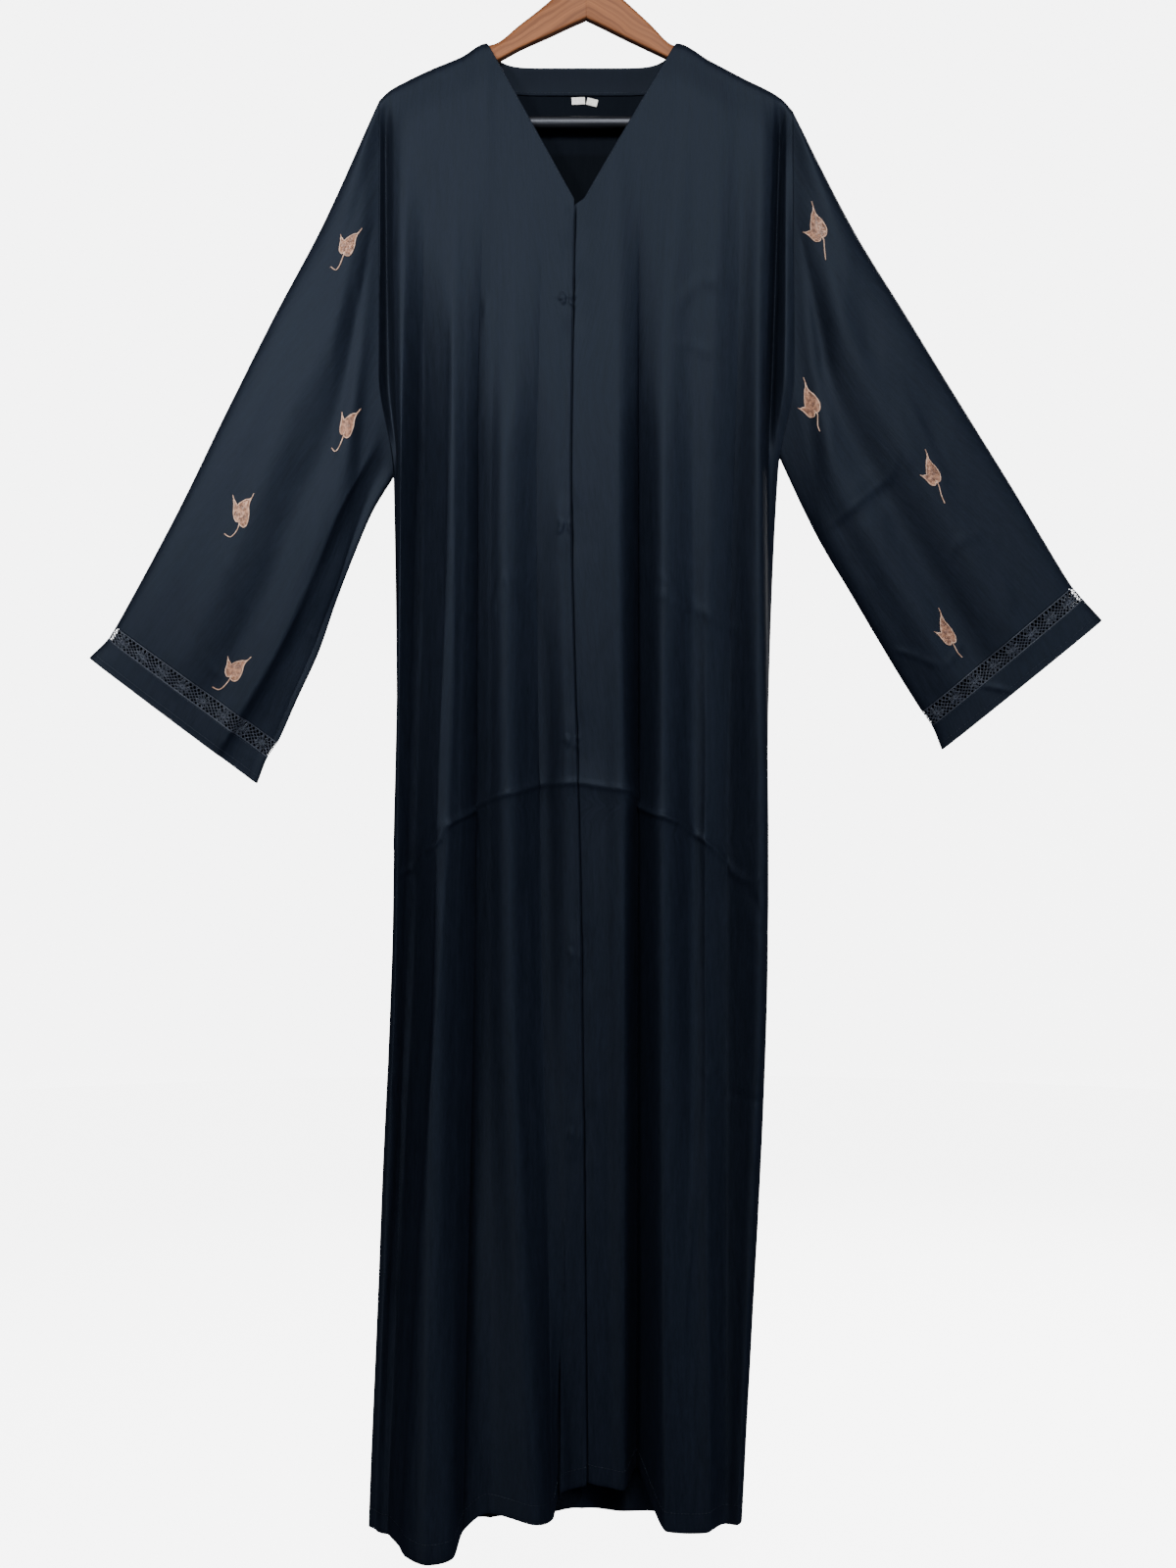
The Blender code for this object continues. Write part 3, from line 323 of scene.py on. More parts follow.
def body_points(folds, fold_at, drop, side, armpits):
    """Points of a front (side -1) or the back (side +1).

    fold_at is the place between the table's rows, and armpits has the armpit's drop for the first
    and the last row where that row is an armhole's seam, or None.
    """
    fold_at, drop = np.broadcast_arrays(np.asarray(fold_at, float), np.asarray(drop, float))
    across_rows = np.array([row[1:6] for row in folds], float)
    depth_rows = np.array([row[6:11] for row in folds], float)
    across = through(LEVELS, across_rows, drop[..., None])
    depth = through(LEVELS, depth_rows, drop[..., None])
    for end, armpit in zip((0, -1), armpits):
        if armpit is not None:
            depth[..., end] += side * ARMHOLE_SPREAD * armhole_open(drop, armpit)
    rows = np.arange(len(folds), dtype=float)
    x = through(rows, across, fold_at)
    y = through(rows, depth, fold_at)
    below = drop - shoulder_drop(x)
    over_arm = 1 - np.clip(below / SHOULDER_RADIUS, 0.0, 1.0)
    bent = side * SHOULDER_RADIUS * np.sqrt(1 - over_arm**2)
    y = bent + (y - side * SHOULDER_RADIUS) * ease(below / HANG_IN)
    return np.stack([x, y, -drop], axis=-1)


def hem_drop(folds, fold_at):
    return through(np.arange(len(folds), dtype=float), np.array([row.hem for row in folds], float), fold_at)


def back_neck_line(across):
    middle, half = (NECK_LEFT + NECK_RIGHT) / 2, (NECK_LEFT - NECK_RIGHT) / 2
    share = np.clip(np.abs(across - middle) / half, 0.0, 1.0)
    return NECK_DROP + BACK_NECK_DIP * (1 - share**BACK_NECK_POWER)


# ---- the sleeves' surface ----
def face_curve(angle):
    """Place across a sleeve's face (0 at its top edge, 1 at its lower edge) and its share of the depth."""
    power = np.where(angle < math.pi / 2, TOP_EDGE_POWER, LOW_EDGE_POWER)
    cosine, sine = np.cos(angle), np.abs(np.sin(angle))
    place = 0.5 * (1 - np.sign(cosine) * np.abs(cosine) ** (2 / power))
    return place, sine ** (2 / power)


def sleeve_points(sections, at, angle, face):
    """Points of a sleeve's front (face -1) or back (face +1), at a place between its sections."""
    at, angle = np.broadcast_arrays(np.asarray(at, float), np.asarray(angle, float))
    knots = np.arange(len(sections), dtype=float)
    rows = np.array([row[1:] for row in sections], float)
    top_x, top_drop, low_x, low_drop, half, low_depth = (
        through(knots, rows[:, k], at) for k in range(rows.shape[1])
    )
    place, share = face_curve(angle)
    x = top_x + (low_x - top_x) * place
    drop = top_drop + (low_drop - top_drop) * place
    y = low_depth * ease((place - 0.4) / 0.6) + face * half * share
    length = len(sections) - 3.0
    fade = ease(at / 2.0) * ease((length + 1.5 - at) / 2.5)
    for drape in SLEEVE_DRAPES:
        if (drape.face == "front") == (face < 0):
            centre = drape.at_armhole + (drape.at_wrist - drape.at_armhole) * np.clip(at / length, 0, 1)
            swell = np.exp(-(((place - centre) / drape.half_width) ** 2))
            y = y + face * drape.height * swell * share * fade
    return np.stack([x, y, -drop], axis=-1)


def even_angles(sections, at, face, count):
    """Angles that divide a sleeve's face into equal lengths."""
    fine = np.linspace(0, math.pi, 721)
    line = sleeve_points(sections, at, fine, face)
    run = run_along(line)
    return np.interp(np.linspace(0, run[-1], count), run, fine)


# ---- rows and columns of the fine shells ----
COLUMNS_PER_FOLD = 15
CLOSER_AT_FOLDS = 0.09
CREST_ROWS = 6
YOKE_ROWS = 92
SKIRT_ROWS = 280
ARM_ROWS = CREST_ROWS + YOKE_ROWS  # from the shoulder to the armpit
TOP_TRIES = 8  # in which a column's top settles on the panel's top line
LAP_COLUMNS = 20
BRIDGE_COLUMNS = 14  # from under the lap out to the front's own first row
HIDDEN_COLUMNS = LAP_COLUMNS + BRIDGE_COLUMNS
SLEEVE_ROWS = 150
OUTER_LAYER = 0.4  # the cloth's face, from its middle
TURN_RADIUS = 0.4  # of a turned edge


def closer_at(count, *places):
    """Shares of rows that stand closer together at places given as (share, reach, how much)."""
    even = np.linspace(0, 1, 2001)
    closeness = 1 + sum(much * np.exp(-(((even - share) / reach) ** 2)) for share, reach, much in places)
    run = np.concatenate([[0], np.cumsum((closeness[1:] + closeness[:-1]) / 2)])
    return np.interp(np.linspace(0, 1, count + 1), run / run[-1], even)


YOKE_SHARES = closer_at(YOKE_ROWS, (0.40, 0.045, 2.5))  # closer together at the second stud
SKIRT_SHARES = closer_at(  # closer together at the long crease and at four of the studs
    SKIRT_ROWS, (0.34, 0.07, 1.4), *((share, 0.0145, 1.2) for share in (0.049, 0.25, 0.45, 0.62))
)


def row_drops(top, armpit, hem, crest_rows=CREST_ROWS, yoke_shares=YOKE_SHARES, skirt_shares=SKIRT_SHARES):
    """Drops of the rows of each column: over the hanger's arm, to the armpit and to the hem."""
    top, armpit, hem = (np.atleast_1d(np.asarray(v, float)) for v in (top, armpit, hem))
    angles = np.linspace(0, math.pi / 2, crest_rows + 1)[:, None]
    crest = top + SHOULDER_RADIUS * (1 - np.cos(angles))
    yoke = crest[-1] + (armpit - crest[-1]) * yoke_shares[1:, None]
    skirt = armpit + (hem - armpit) * skirt_shares[1:, None]
    return np.concatenate([crest, yoke, np.broadcast_to(skirt, (len(skirt), yoke.shape[1]))])


def fold_places(folds):
    """Places of a panel's columns, closer together along the ridges and the valleys."""
    even = np.linspace(0, len(folds) - 1, COLUMNS_PER_FOLD * (len(folds) - 1) + 1)
    return even - CLOSER_AT_FOLDS * np.sin(2 * math.pi * even)


def panel_grid(folds, places, top_line, side, armpits):
    """A panel's fine grid, its rows down and its columns across."""
    drop = np.full(len(places), NECK_DROP)
    for _ in range(TOP_TRIES):
        drop = top_line(body_points(folds, places, drop, side, armpits)[..., 0])
    known = [a for a in armpits if a is not None]
    share = np.asarray(places) / (len(folds) - 1)
    armpit = np.full(len(places), known[0]) if len(known) == 1 else np.interp(share, (0, 1), known)
    drops = row_drops(drop, armpit, hem_drop(folds, places))
    return body_points(folds, places, drops, side, armpits)


def neckline(across, neck, point):
    """Top edge of a front: its V inside the neck point, and the shoulder's line outside."""
    outside = (np.abs(across) >= abs(neck)) & (across * neck > 0)
    v_line = NECK_DROP + (across - neck) * (V_DROP - NECK_DROP) / (point - neck)
    return np.where(outside, shoulder_drop(across), v_line)


def lap_gap(drop):
    """Distance between the middles of the two fronts where they lap."""
    return LAP_FASTENED + (LAP_CLOSED - LAP_FASTENED) * ease((drop - SEWN_BELOW) / LAP_CLOSES_OVER)


def right_front_inside(place, drops):
    """Points of the right front, and the directions that lead straight to its inside."""
    here = body_points(FRONT_RIGHT, place, drops, -1, RIGHT_ARMPITS)
    aside = body_points(FRONT_RIGHT, place + 0.05, drops, -1, RIGHT_ARMPITS)
    lower = body_points(FRONT_RIGHT, place, np.asarray(drops) + 1.0, -1, RIGHT_ARMPITS)
    inward = unit(np.cross(lower - here, aside - here))
    return here, inward * np.sign(inward[..., 1:2])


def under_lap():
    """The columns of the left front that lie under the right one."""
    places = np.linspace(LAP_PLACES[0], LAP_PLACES[1], LAP_COLUMNS)
    at_point = np.full(len(places), V_DROP)
    across = body_points(FRONT_RIGHT, places, at_point, -1, RIGHT_ARMPITS)[..., 0]
    top = V_DROP + LAP_TOP_SLOPE * (V_LEFT - across)
    drops = row_drops(top, ARMPIT_LEFT, hem_drop(FRONT_RIGHT, places) - UNDER_HEM)
    narrowed = LAP_NARROWS * ease((drops - LAP_NARROWS_FROM) / LAP_NARROWS_OVER)
    places = np.minimum(places, LAP_PLACES[0] - narrowed)
    here, inward = right_front_inside(places, drops)
    return here + inward * lap_gap(drops)[..., None], here


# ---- creases, dimples and the slow waves of hanging cloth ----
# A crease follows a path of (across, drop) points. Its height is that of a ridge, and its step is
# how far the cloth comes forward on the left of the path and falls back on its right, going along.
# Its form is SOFT, like a wave, or CRISP, like a pressed edge that the cloth on its right falls
# away from, and it fades in and out over the given shares of its path.
SOFT = 2.0
CRISP = 1.0
Crease = namedtuple("Crease", "height step width path form fades", defaults=(SOFT, (0.3, 0.3)))
SOFT_REACH, CRISP_REACH, STEP_REACH = 3.0, 4.5, 14.0  # widths to which a crease is felt
STEP_ENDS = 8.0
WAVES = ((0.55, 26, 210), (0.28, 12, 95), (0.10, 6, 40))  # height, width and length of each


def smooth_path(points, count=60):
    """A smooth line of points through a few of them; two points make it straight."""
    points = np.asarray(points, float)
    run = run_along(points)
    at = np.linspace(0, run[-1], count)
    if len(points) == 2:
        return np.stack([np.interp(at, run, points[:, k]) for k in (0, 1)], axis=1)
    return np.stack([through(run, points[:, k], at) for k in (0, 1)], axis=1)


def crease_relief(across, drop, creases):
    """Height of the creases over the cloth, in millimetres."""
    relief = np.zeros(across.shape)
    for number, crease in enumerate(creases):
        path = smooth_path(crease.path)
        reach = SOFT_REACH if crease.form == SOFT else STEP_REACH if crease.step else CRISP_REACH
        reach *= crease.width
        low, high = path.min(axis=0) - reach, path.max(axis=0) + reach
        near = (across > low[0]) & (across < high[0]) & (drop > low[1]) & (drop < high[1])
        spots = np.stack([across[near], drop[near]], axis=1)
        if not len(spots):
            continue
        nearest = np.argmin(((spots[:, None] - path[None]) ** 2).sum(axis=2), axis=1)
        away = spots - path[nearest]
        tangent = np.gradient(path, axis=0)
        step = np.linalg.norm(tangent, axis=1, keepdims=True)
        tangent, step = (tangent / step)[nearest], step[nearest, 0]
        signed = (tangent[:, 0] * away[:, 1] - tangent[:, 1] * away[:, 0]) / crease.width
        onward = (tangent * away).sum(axis=1)
        past_start = np.where(nearest == 0, np.minimum(onward, 0), 0)
        past_end = np.where(nearest == len(path) - 1, np.maximum(onward, 0), 0)
        far = np.hypot(signed, (past_start + past_end) / crease.width)
        along = np.clip((nearest + onward / step) / (len(path) - 1), 0, 1)
        ends = 1.0
        for share, fade in zip((along, 1 - along), crease.fades):
            if fade > 0:
                ends = ends * ease(share / fade)
        uneven = 0.82 + 0.18 * np.sin(9.0 * along + 2.1 * number) + 0.1 * np.sin(23.0 * along + number)
        profile = crease.height * np.exp(-(far**crease.form))
        if crease.form == SOFT:
            profile -= 1.5 * crease.step * signed * np.exp(-(far**2))
        else:
            fallen = 1 - np.exp(-np.maximum(signed, 0))
            profile -= crease.step * fallen * np.exp(-((far / STEP_ENDS) ** 2))
        relief[near] += profile * ends * uneven
    return relief


def soft_noise(across, drop, wide, long, seed):
    """Smooth noise from -1 to 1, with patches of the given width and length."""
    size = 64
    lattice = np.random.default_rng(seed).uniform(-1, 1, (size, size))
    u, v = across / wide + 17.3, drop / long + 5.7
    i, j = np.floor(u).astype(int), np.floor(v).astype(int)
    s, t = ease(u - i), ease(v - j)

    def node(a, b):
        return lattice[(i + a) % size, (j + b) % size]

    upper = node(0, 0) * (1 - s) + node(1, 0) * s
    lower = node(0, 1) * (1 - s) + node(1, 1) * s
    return upper * (1 - t) + lower * t


def hang_waves(across, drop, seed, strength):
    """The slow uneven waves of thin cloth: long down the cloth and narrow across it."""
    return strength * sum(
        height * soft_noise(across, drop, wide, long, seed + number)
        for number, (height, wide, long) in enumerate(WAVES)
    )


# ---- where the creases lie, as (across, drop) ----
ARCH = (
    (-192, 944), (-174, 938), (-161, 919), (-145, 909), (-139, 894), (-115, 880), (-94, 868), (-68, 859),
    (-46, 853), (-12, 851.5), (17, 855.5), (38, 859), (52, 874), (73, 884), (91, 892), (107, 904),
    (126, 917.5), (136.5, 930.7), (152, 946),
)
OUTER_RIDGE = (
    (-131, 330), (-131, 660), (-132, 762), (-142, 993), (-149, 1128), (-158, 1274), (-167, 1421),
    (-177, 1590),
)
BESIDE_OUTER_RIDGE = (
    (-120, 330), (-120, 660), (-121, 762), (-131, 993), (-139, 1128), (-147, 1274), (-155, 1421),
    (-165, 1590),
)
BESIDE_INNER_RIDGE = ((-70, 330), (-70, 660), (-70, 993), (-68, 1274), (-58, 1421), (-48, 1590))
BESIDE_PLACKET = ((-42, 640), (-41, 800), (-39, 1000), (-30, 1300), (-27, 1590))
INNER_SLOPE = ((-70, 838), (-64, 891), (-60, 939), (-57, 997), (-58, 1100), (-52, 1188), (-48, 1320))
UPPER_CREASE = ((52, 664), (78, 673.5), (91, 679), (102, 683), (118, 689.4), (134, 698.7), (156, 711))
FRONT_CREASES = (
    Crease(-4.0, 0.0, 9.0, BESIDE_PLACKET, SOFT, (0.25, 0.0)),
    Crease(-3.5, 0.0, 8.0, ((15, 600), (16, 800), (17, 1000), (20, 1300), (22, 1590)), SOFT, (0.25, 0.0)),
    Crease(-6.0, 0.0, 24.0, ((112, 480), (112, 700), (112, 950), (116, 1250), (122, 1590)), SOFT, (0.3, 0.0)),
    Crease(1.9, 0.0, 2.4, ARCH, SOFT, (0.08, 0.08)),
    Crease(3.6, 0.0, 20.0, ARCH, CRISP, (0.15, 0.15)),
    Crease(1.0, 0.3, 2.8, UPPER_CREASE),
    Crease(2.0, 0.0, 11.0, UPPER_CREASE, CRISP),
    Crease(0.8, 0.3, 4.0, ((58, 648), (74, 657), (88, 668))),
    Crease(1.5, 0.5, 3.5, ((128, 929), (142, 941), (158, 948), (170, 937))),
    Crease(-1.2, 0.0, 4.5, ((151, 950), (163, 972), (168, 990), (168, 1012))),
    Crease(1.0, 0.3, 3.5, ((-93, 702), (-89, 676), (-81, 655), (-74, 672), (-69, 692))),
    Crease(1.1, 0.4, 4.0, ((-104, 376), (-99.4, 392), (-100, 402), (-106, 420))),
    Crease(1.0, 0.4, 4.0, ((80, 426), (95, 429), (106, 433), (125, 438))),
    Crease(0.9, 0.4, 7.0, ((86, 400), (98, 380), (115, 368), (130, 374), (140, 390))),
    Crease(0.8, 0.0, 2.5, ((119, 1137), (104, 1126))),
    Crease(0.8, 0.0, 2.5, ((116, 1137), (131, 1124))),
    Crease(0.7, 0.0, 2.5, ((116, 1133), (130, 1148))),
    Crease(1.3, 0.3, 3.5, ((119, 1128), (110, 1165), (100, 1291), (94, 1362), (86, 1470))),
    Crease(-1.4, 0.8, 4.0, ((132, 1154), (150, 1155), (172, 1159))),
    Crease(-1.1, 0.0, 4.0, ((-195, 1116), (-190, 1131), (-184, 1148), (-178, 1166))),
    Crease(1.0, 9.0, 6.0, OUTER_RIDGE, CRISP, (0.12, 0.0)),
    Crease(2.2, 0.0, 12.0, BESIDE_OUTER_RIDGE, SOFT, (0.15, 0.0)),
    Crease(1.6, 0.0, 9.0, BESIDE_INNER_RIDGE, SOFT, (0.15, 0.0)),
    Crease(1.1, 0.3, 3.0, INNER_SLOPE),
    Crease(0.8, 0.2, 6.0, ((-120, 560), (-112, 700), (-118, 830))),
    Crease(0.8, 0.2, 7.0, ((96, 960), (88, 1080), (92, 1220))),
    Crease(0.7, 0.3, 5.0, ((-178, 640), (-170, 760), (-172, 880))),
    Crease(0.8, 0.3, 6.0, ((152, 600), (158, 740), (150, 860))),
)
BACK_ARCH = (
    (-186, 966), (-150, 940), (-112, 915), (-70, 896), (-20, 884), (30, 890), (80, 905), (130, 934),
    (160, 960),
)
BACK_UPPER_CREASE = ((-150, 700), (-118, 692), (-84, 676), (-60, 664))
BACK_CREASES = (
    Crease(1.2, 0.3, 2.8, BACK_ARCH, SOFT, (0.1, 0.1)),
    Crease(3.6, 0.0, 19.0, BACK_ARCH, CRISP, (0.15, 0.15)),
    Crease(1.0, 0.3, 3.0, BACK_UPPER_CREASE),
    Crease(1.8, 0.0, 11.0, BACK_UPPER_CREASE, CRISP),
    Crease(1.1, -0.4, 4.0, ((60, 428), (84, 424), (110, 430))),
    Crease(1.0, 0.3, 5.0, ((-126, 380), (-120, 402), (-128, 426))),
    Crease(1.4, 0.4, 4.5, ((104, 1010), (99, 1150), (96, 1310), (92, 1480))),
    Crease(1.2, 0.3, 3.5, ((-54, 900), (-50, 1010), (-54, 1160), (-50, 1330))),
    Crease(1.2, 0.3, 4.0, ((-122, 1120), (-128, 1230), (-134, 1370), (-140, 1500))),
    Crease(0.9, 0.3, 6.0, ((36, 600), (30, 760), (34, 930))),
    Crease(0.8, 0.0, 2.6, ((-98, 1142), (-84, 1130))),
    Crease(0.8, 0.0, 2.6, ((-96, 1140), (-110, 1128))),
    Crease(-1.2, 0.0, 4.0, ((-190, 1120), (-182, 1146), (-176, 1170))),
)
BEND_RIGHT = ((-352, 812), (-338, 789), (-303, 730), (-268, 656), (-240, 588), (-188, 491))
BEND_LEFT = ((222, 613), (240, 600), (270, 575), (300, 551), (322, 533))
SLEEVE_RIGHT_CREASES = {
    "front": (
        Crease(2.0, 9.0, 7.0, BEND_RIGHT, CRISP, (0.0, 0.3)),
        Crease(-2.6, 0.0, 15.0, ((-262, 455), (-276, 510), (-292, 570), (-312, 640))),
        Crease(1.2, 0.0, 12.0, ((-300, 440), (-330, 520), (-352, 590))),
        Crease(0.9, 0.2, 5.0, ((-232, 380), (-246, 420), (-250, 462))),
        Crease(0.8, 0.2, 5.0, ((-330, 690), (-342, 660), (-350, 622))),
        Crease(0.9, 0.3, 4.0, ((-214, 330), (-224, 372), (-222, 420))),
        Crease(0.8, 0.3, 3.5, ((-352, 752), (-366, 738), (-372, 720))),
        Crease(0.7, 0.3, 4.0, ((-276, 700), (-262, 716), (-256, 738))),
    ),
    "back": (
        Crease(-2.0, 0.0, 14.0, ((-250, 420), (-280, 520), (-322, 640))),
        Crease(1.6, 0.4, 8.0, ((-300, 520), (-352, 640), (-380, 700))),
        Crease(1.1, 0.4, 3.5, ((-226, 560), (-262, 540), (-300, 538))),
        Crease(1.0, 0.4, 3.5, ((-290, 668), (-330, 648), (-352, 650))),
        Crease(0.9, 0.2, 5.0, ((-232, 330), (-240, 400), (-232, 470))),
    ),
}
SLEEVE_LEFT_CREASES = {
    "front": (
        Crease(1.3, 0.5, 3.5, BEND_LEFT),
        Crease(0.0, 1.2, 14.0, BEND_LEFT),
        Crease(1.1, 0.4, 3.5, ((334, 629), (356, 621), (386, 609))),
        Crease(1.0, 0.4, 3.2, ((292, 721), (318, 730), (344, 742))),
        Crease(1.0, 0.4, 3.2, ((344, 743), (354, 731), (366, 712))),
        Crease(-1.9, 0.0, 9.0, ((218, 370), (226, 430), (227, 480), (221, 556))),
        Crease(-1.6, 0.0, 12.0, ((252, 375), (276, 445), (306, 534))),
        Crease(1.2, 0.4, 3.0, ((374, 757), (392, 760), (414, 765))),
        Crease(2.0, -1.6, 12.0, ((214, 560), (262, 652), (312, 742))),
        Crease(1.0, 0.3, 5.0, ((300, 470), (330, 530), (352, 590))),
        Crease(0.9, 0.3, 4.0, ((392, 640), (404, 668), (420, 690))),
    ),
    "back": (
        Crease(-2.0, 0.0, 14.0, ((250, 420), (282, 520), (322, 630))),
        Crease(1.5, 0.4, 8.0, ((300, 500), (348, 600), (384, 680))),
        Crease(1.1, 0.4, 3.5, ((232, 580), (264, 556), (300, 548))),
        Crease(1.0, 0.4, 3.5, ((300, 690), (336, 664), (360, 662))),
        Crease(0.9, 0.2, 5.0, ((232, 330), (242, 396), (236, 466))),
    ),
}


# how much the folds are drawn in behind their solids, or stand proud of them: (fold, height, width)
FRONT_RIGHT_FOLDS = (
    ("hollow", -4.0, 6.0), ("inner_valley", -8.0, 5.0), ("outer_valley", -12.0, 8.0),
)
FRONT_LEFT_FOLDS = (
    ("deep_valley", -11.0, 4.5), ("outer_valley", -9.0, 16.0),
)
BACK_FOLDS = (
    ("right_valley", -9.0, 10.0), ("inner_valley_r", -10.0, 10.0), ("centre_valley", -8.0, 10.0),
    ("inner_valley_l", -10.0, 10.0), ("left_valley", -9.0, 10.0),
)
FOLDS_START = 240.0
FOLDS_GROW = 330.0
SEAM_FADE = 14.0  # beside a seam, the width in which the folds set in


def fold_line(row, drop):
    """How far across a fold stands at each drop."""
    return through(LEVELS, np.array(row[1:6], float), drop)


def fold_relief(across, drop, folds, drawn):
    """How far the valleys of a panel's folds are drawn in, as pressed lines from chest to hem."""
    named = {row.name: row for row in folds}
    relief = np.zeros(across.shape)
    for number, (name, height, width) in enumerate(drawn):
        away = np.abs(across - fold_line(named[name], drop))
        uneven = 0.9 + 0.1 * np.sin(drop / 110.0 + 1.7 * number)
        relief += height * uneven * np.exp(-away / width)
    for row in (folds[0], folds[-1]):
        if row.name == "seam":
            relief *= ease(np.abs(across - fold_line(row, drop)) / SEAM_FADE)
    return relief * ease((drop - FOLDS_START) / FOLDS_GROW)


def drawn_in(points, side, folds, drawn):
    """A panel's points with its folds drawn in; side is -1 in front and +1 behind."""
    moved = points.copy()
    moved[..., 1] += side * fold_relief(points[..., 0], -points[..., 2], folds, drawn)
    return moved


# ---- the shells' places, before the creases ----
ARMPIT_RIGHT = SLEEVE_RIGHT[0].low_drop
ARMPIT_LEFT = SLEEVE_LEFT[0].low_drop
RIGHT_ARMPITS = (None, ARMPIT_RIGHT)
LEFT_ARMPITS = (None, ARMPIT_LEFT)
SOLID_ROWS = (3, 7)  # of the sleeves' solids: over the hanger's arm and to the armpit
BEHIND_FRONTS = 10.0  # a depth that most of a front stands before
BODY_WAVES = 0.7
SLEEVE_WAVES = 0.6
SHOULDER_FADE = 40.0  # below the shoulder's line, the height in which the creases set in
STUD_HOLDS = 12.0  # the fronts stay apart this near a stud, and fall together further on
STUD_LETS_GO = 26.0
PUCKER_ENDS = ((-8, -8), (-10, -2), (-8, 6), (9, -6), (8, 7))  # from a stud: (aside, down)
STUD_DIMPLE = 0.7
DIMPLE_REACH = (3.2, 3.6)
EDGE_RIDGE = (-2.6, 0.5, 1.7)  # beside the right front's edge: its place, height and width
EDGE_GROOVE = (0.5, -2.2, 1.0)  # in the left front, under that edge
FRONT_SEED, BACK_SEED = 11, 31
BAND_ENDS = 1.6  # the place on the right front to which its band falls in
BAND_FADE = 0.9


def grid_normals(points, closed=False):
    """Unit normals of a grid; closed where its columns go all round."""
    down = np.gradient(points, axis=0)
    if closed:
        along = np.roll(points, -1, axis=1) - np.roll(points, 1, axis=1)
    else:
        along = np.gradient(points, axis=1)
    return unit(np.cross(down, along))


def outward(points, middle_depth, closed=False):
    """Normals of a grid, turned to the outside of the cloak."""
    normals = grid_normals(points, closed)
    return normals * np.sign((normals[..., 1] * (points[..., 1] - middle_depth)).sum())


def studs_apart(drop):
    """1 where the two fronts fall together between two studs, 0 at each stud and where they are sewn."""
    nearest = np.min(np.abs(np.asarray(drop)[..., None] - np.array(STUD_DROPS)), axis=-1)
    return ease((nearest - STUD_HOLDS) / STUD_LETS_GO) * ease((SEWN_BELOW - np.asarray(drop)) / 30.0)


def stud_across(drop):
    """How far across a press stud lies."""
    return float(body_points(FRONT_RIGHT, STUD_COLUMN, drop, -1, RIGHT_ARMPITS)[0])


def puckers():
    """Short creases that run out from each press stud."""
    made = []
    for number, drop in enumerate(STUD_DROPS[1:]):
        across = stud_across(drop)
        for turn, (aside, down) in enumerate(PUCKER_ENDS):
            far = 1.0 + 0.25 * math.sin(3.1 * number + 2.3 * turn)
            path = ((across + 0.3 * aside, drop + 0.3 * down), (across + far * aside, drop + far * down))
            made.append(Crease(1.5, 0.0, 1.9, path, SOFT, (0.0, 0.6)))
    return tuple(made)


def along_edge(across, drop, place, height, width):
    """A ridge or a groove that follows the right front's edge, place millimetres to its left side."""
    far = (across - fold_line(FRONT_RIGHT[0], drop) - place) / width
    return height * np.exp(-(far**2)) * ease((drop - V_DROP - 3.0) / 14.0)


def panel_relief(across, drop, creases, seed, studs=()):
    """Height of a panel's creases, waves and dimples at its studs, which set in below the shoulder."""
    relief = crease_relief(across, drop, creases) + hang_waves(across, drop, seed, BODY_WAVES)
    for stud_drop in studs:
        aside, down = across - stud_across(stud_drop), drop - stud_drop
        far = (aside / DIMPLE_REACH[0]) ** 2 + (down / DIMPLE_REACH[1]) ** 2
        relief = relief - STUD_DIMPLE * np.exp(-far)
    return relief * ease((drop - shoulder_drop(across)) / SHOULDER_FADE)


def front_relief(across, drop):
    return panel_relief(across, drop, FRONT_CREASES + puckers(), FRONT_SEED, STUD_DROPS)


def face_relief(points, front_columns, creases, seed):
    """Creases of a sleeve's front and back columns, faded out where the two faces meet."""
    across, drop = points[..., 0], -points[..., 2]
    front, back = (
        crease_relief(across, drop, creases[face]) + hang_waves(across, drop, seed + more, SLEEVE_WAVES)
        for face, more in (("front", 0), ("back", 5))
    )
    columns = np.arange(points.shape[1])
    edge = np.minimum(columns, np.abs(columns - (front_columns - 1)))
    return np.where(columns < front_columns, front, back) * ease(edge / 6.0)


def front_panel(folds, drawn, neck, point, armpits):
    """The points of a front that show, and the places of its columns."""
    places = fold_places(folds)
    points = panel_grid(folds, places, lambda across: neckline(across, neck, point), -1, armpits)
    return drawn_in(points, -1, folds, drawn), places


def right_front():
    """Points, outward normals and relief of the right front."""
    points, places = front_panel(FRONT_RIGHT, FRONT_RIGHT_FOLDS, NECK_RIGHT, V_RIGHT, RIGHT_ARMPITS)
    across, drop = points[..., 0], -points[..., 2]
    band = ease((BAND_ENDS - places) / BAND_FADE) * studs_apart(drop)
    relief = front_relief(across, drop) - LAP_FALLS_IN * band
    return points, outward(points, BEHIND_FRONTS), relief + along_edge(across, drop, *EDGE_RIDGE)


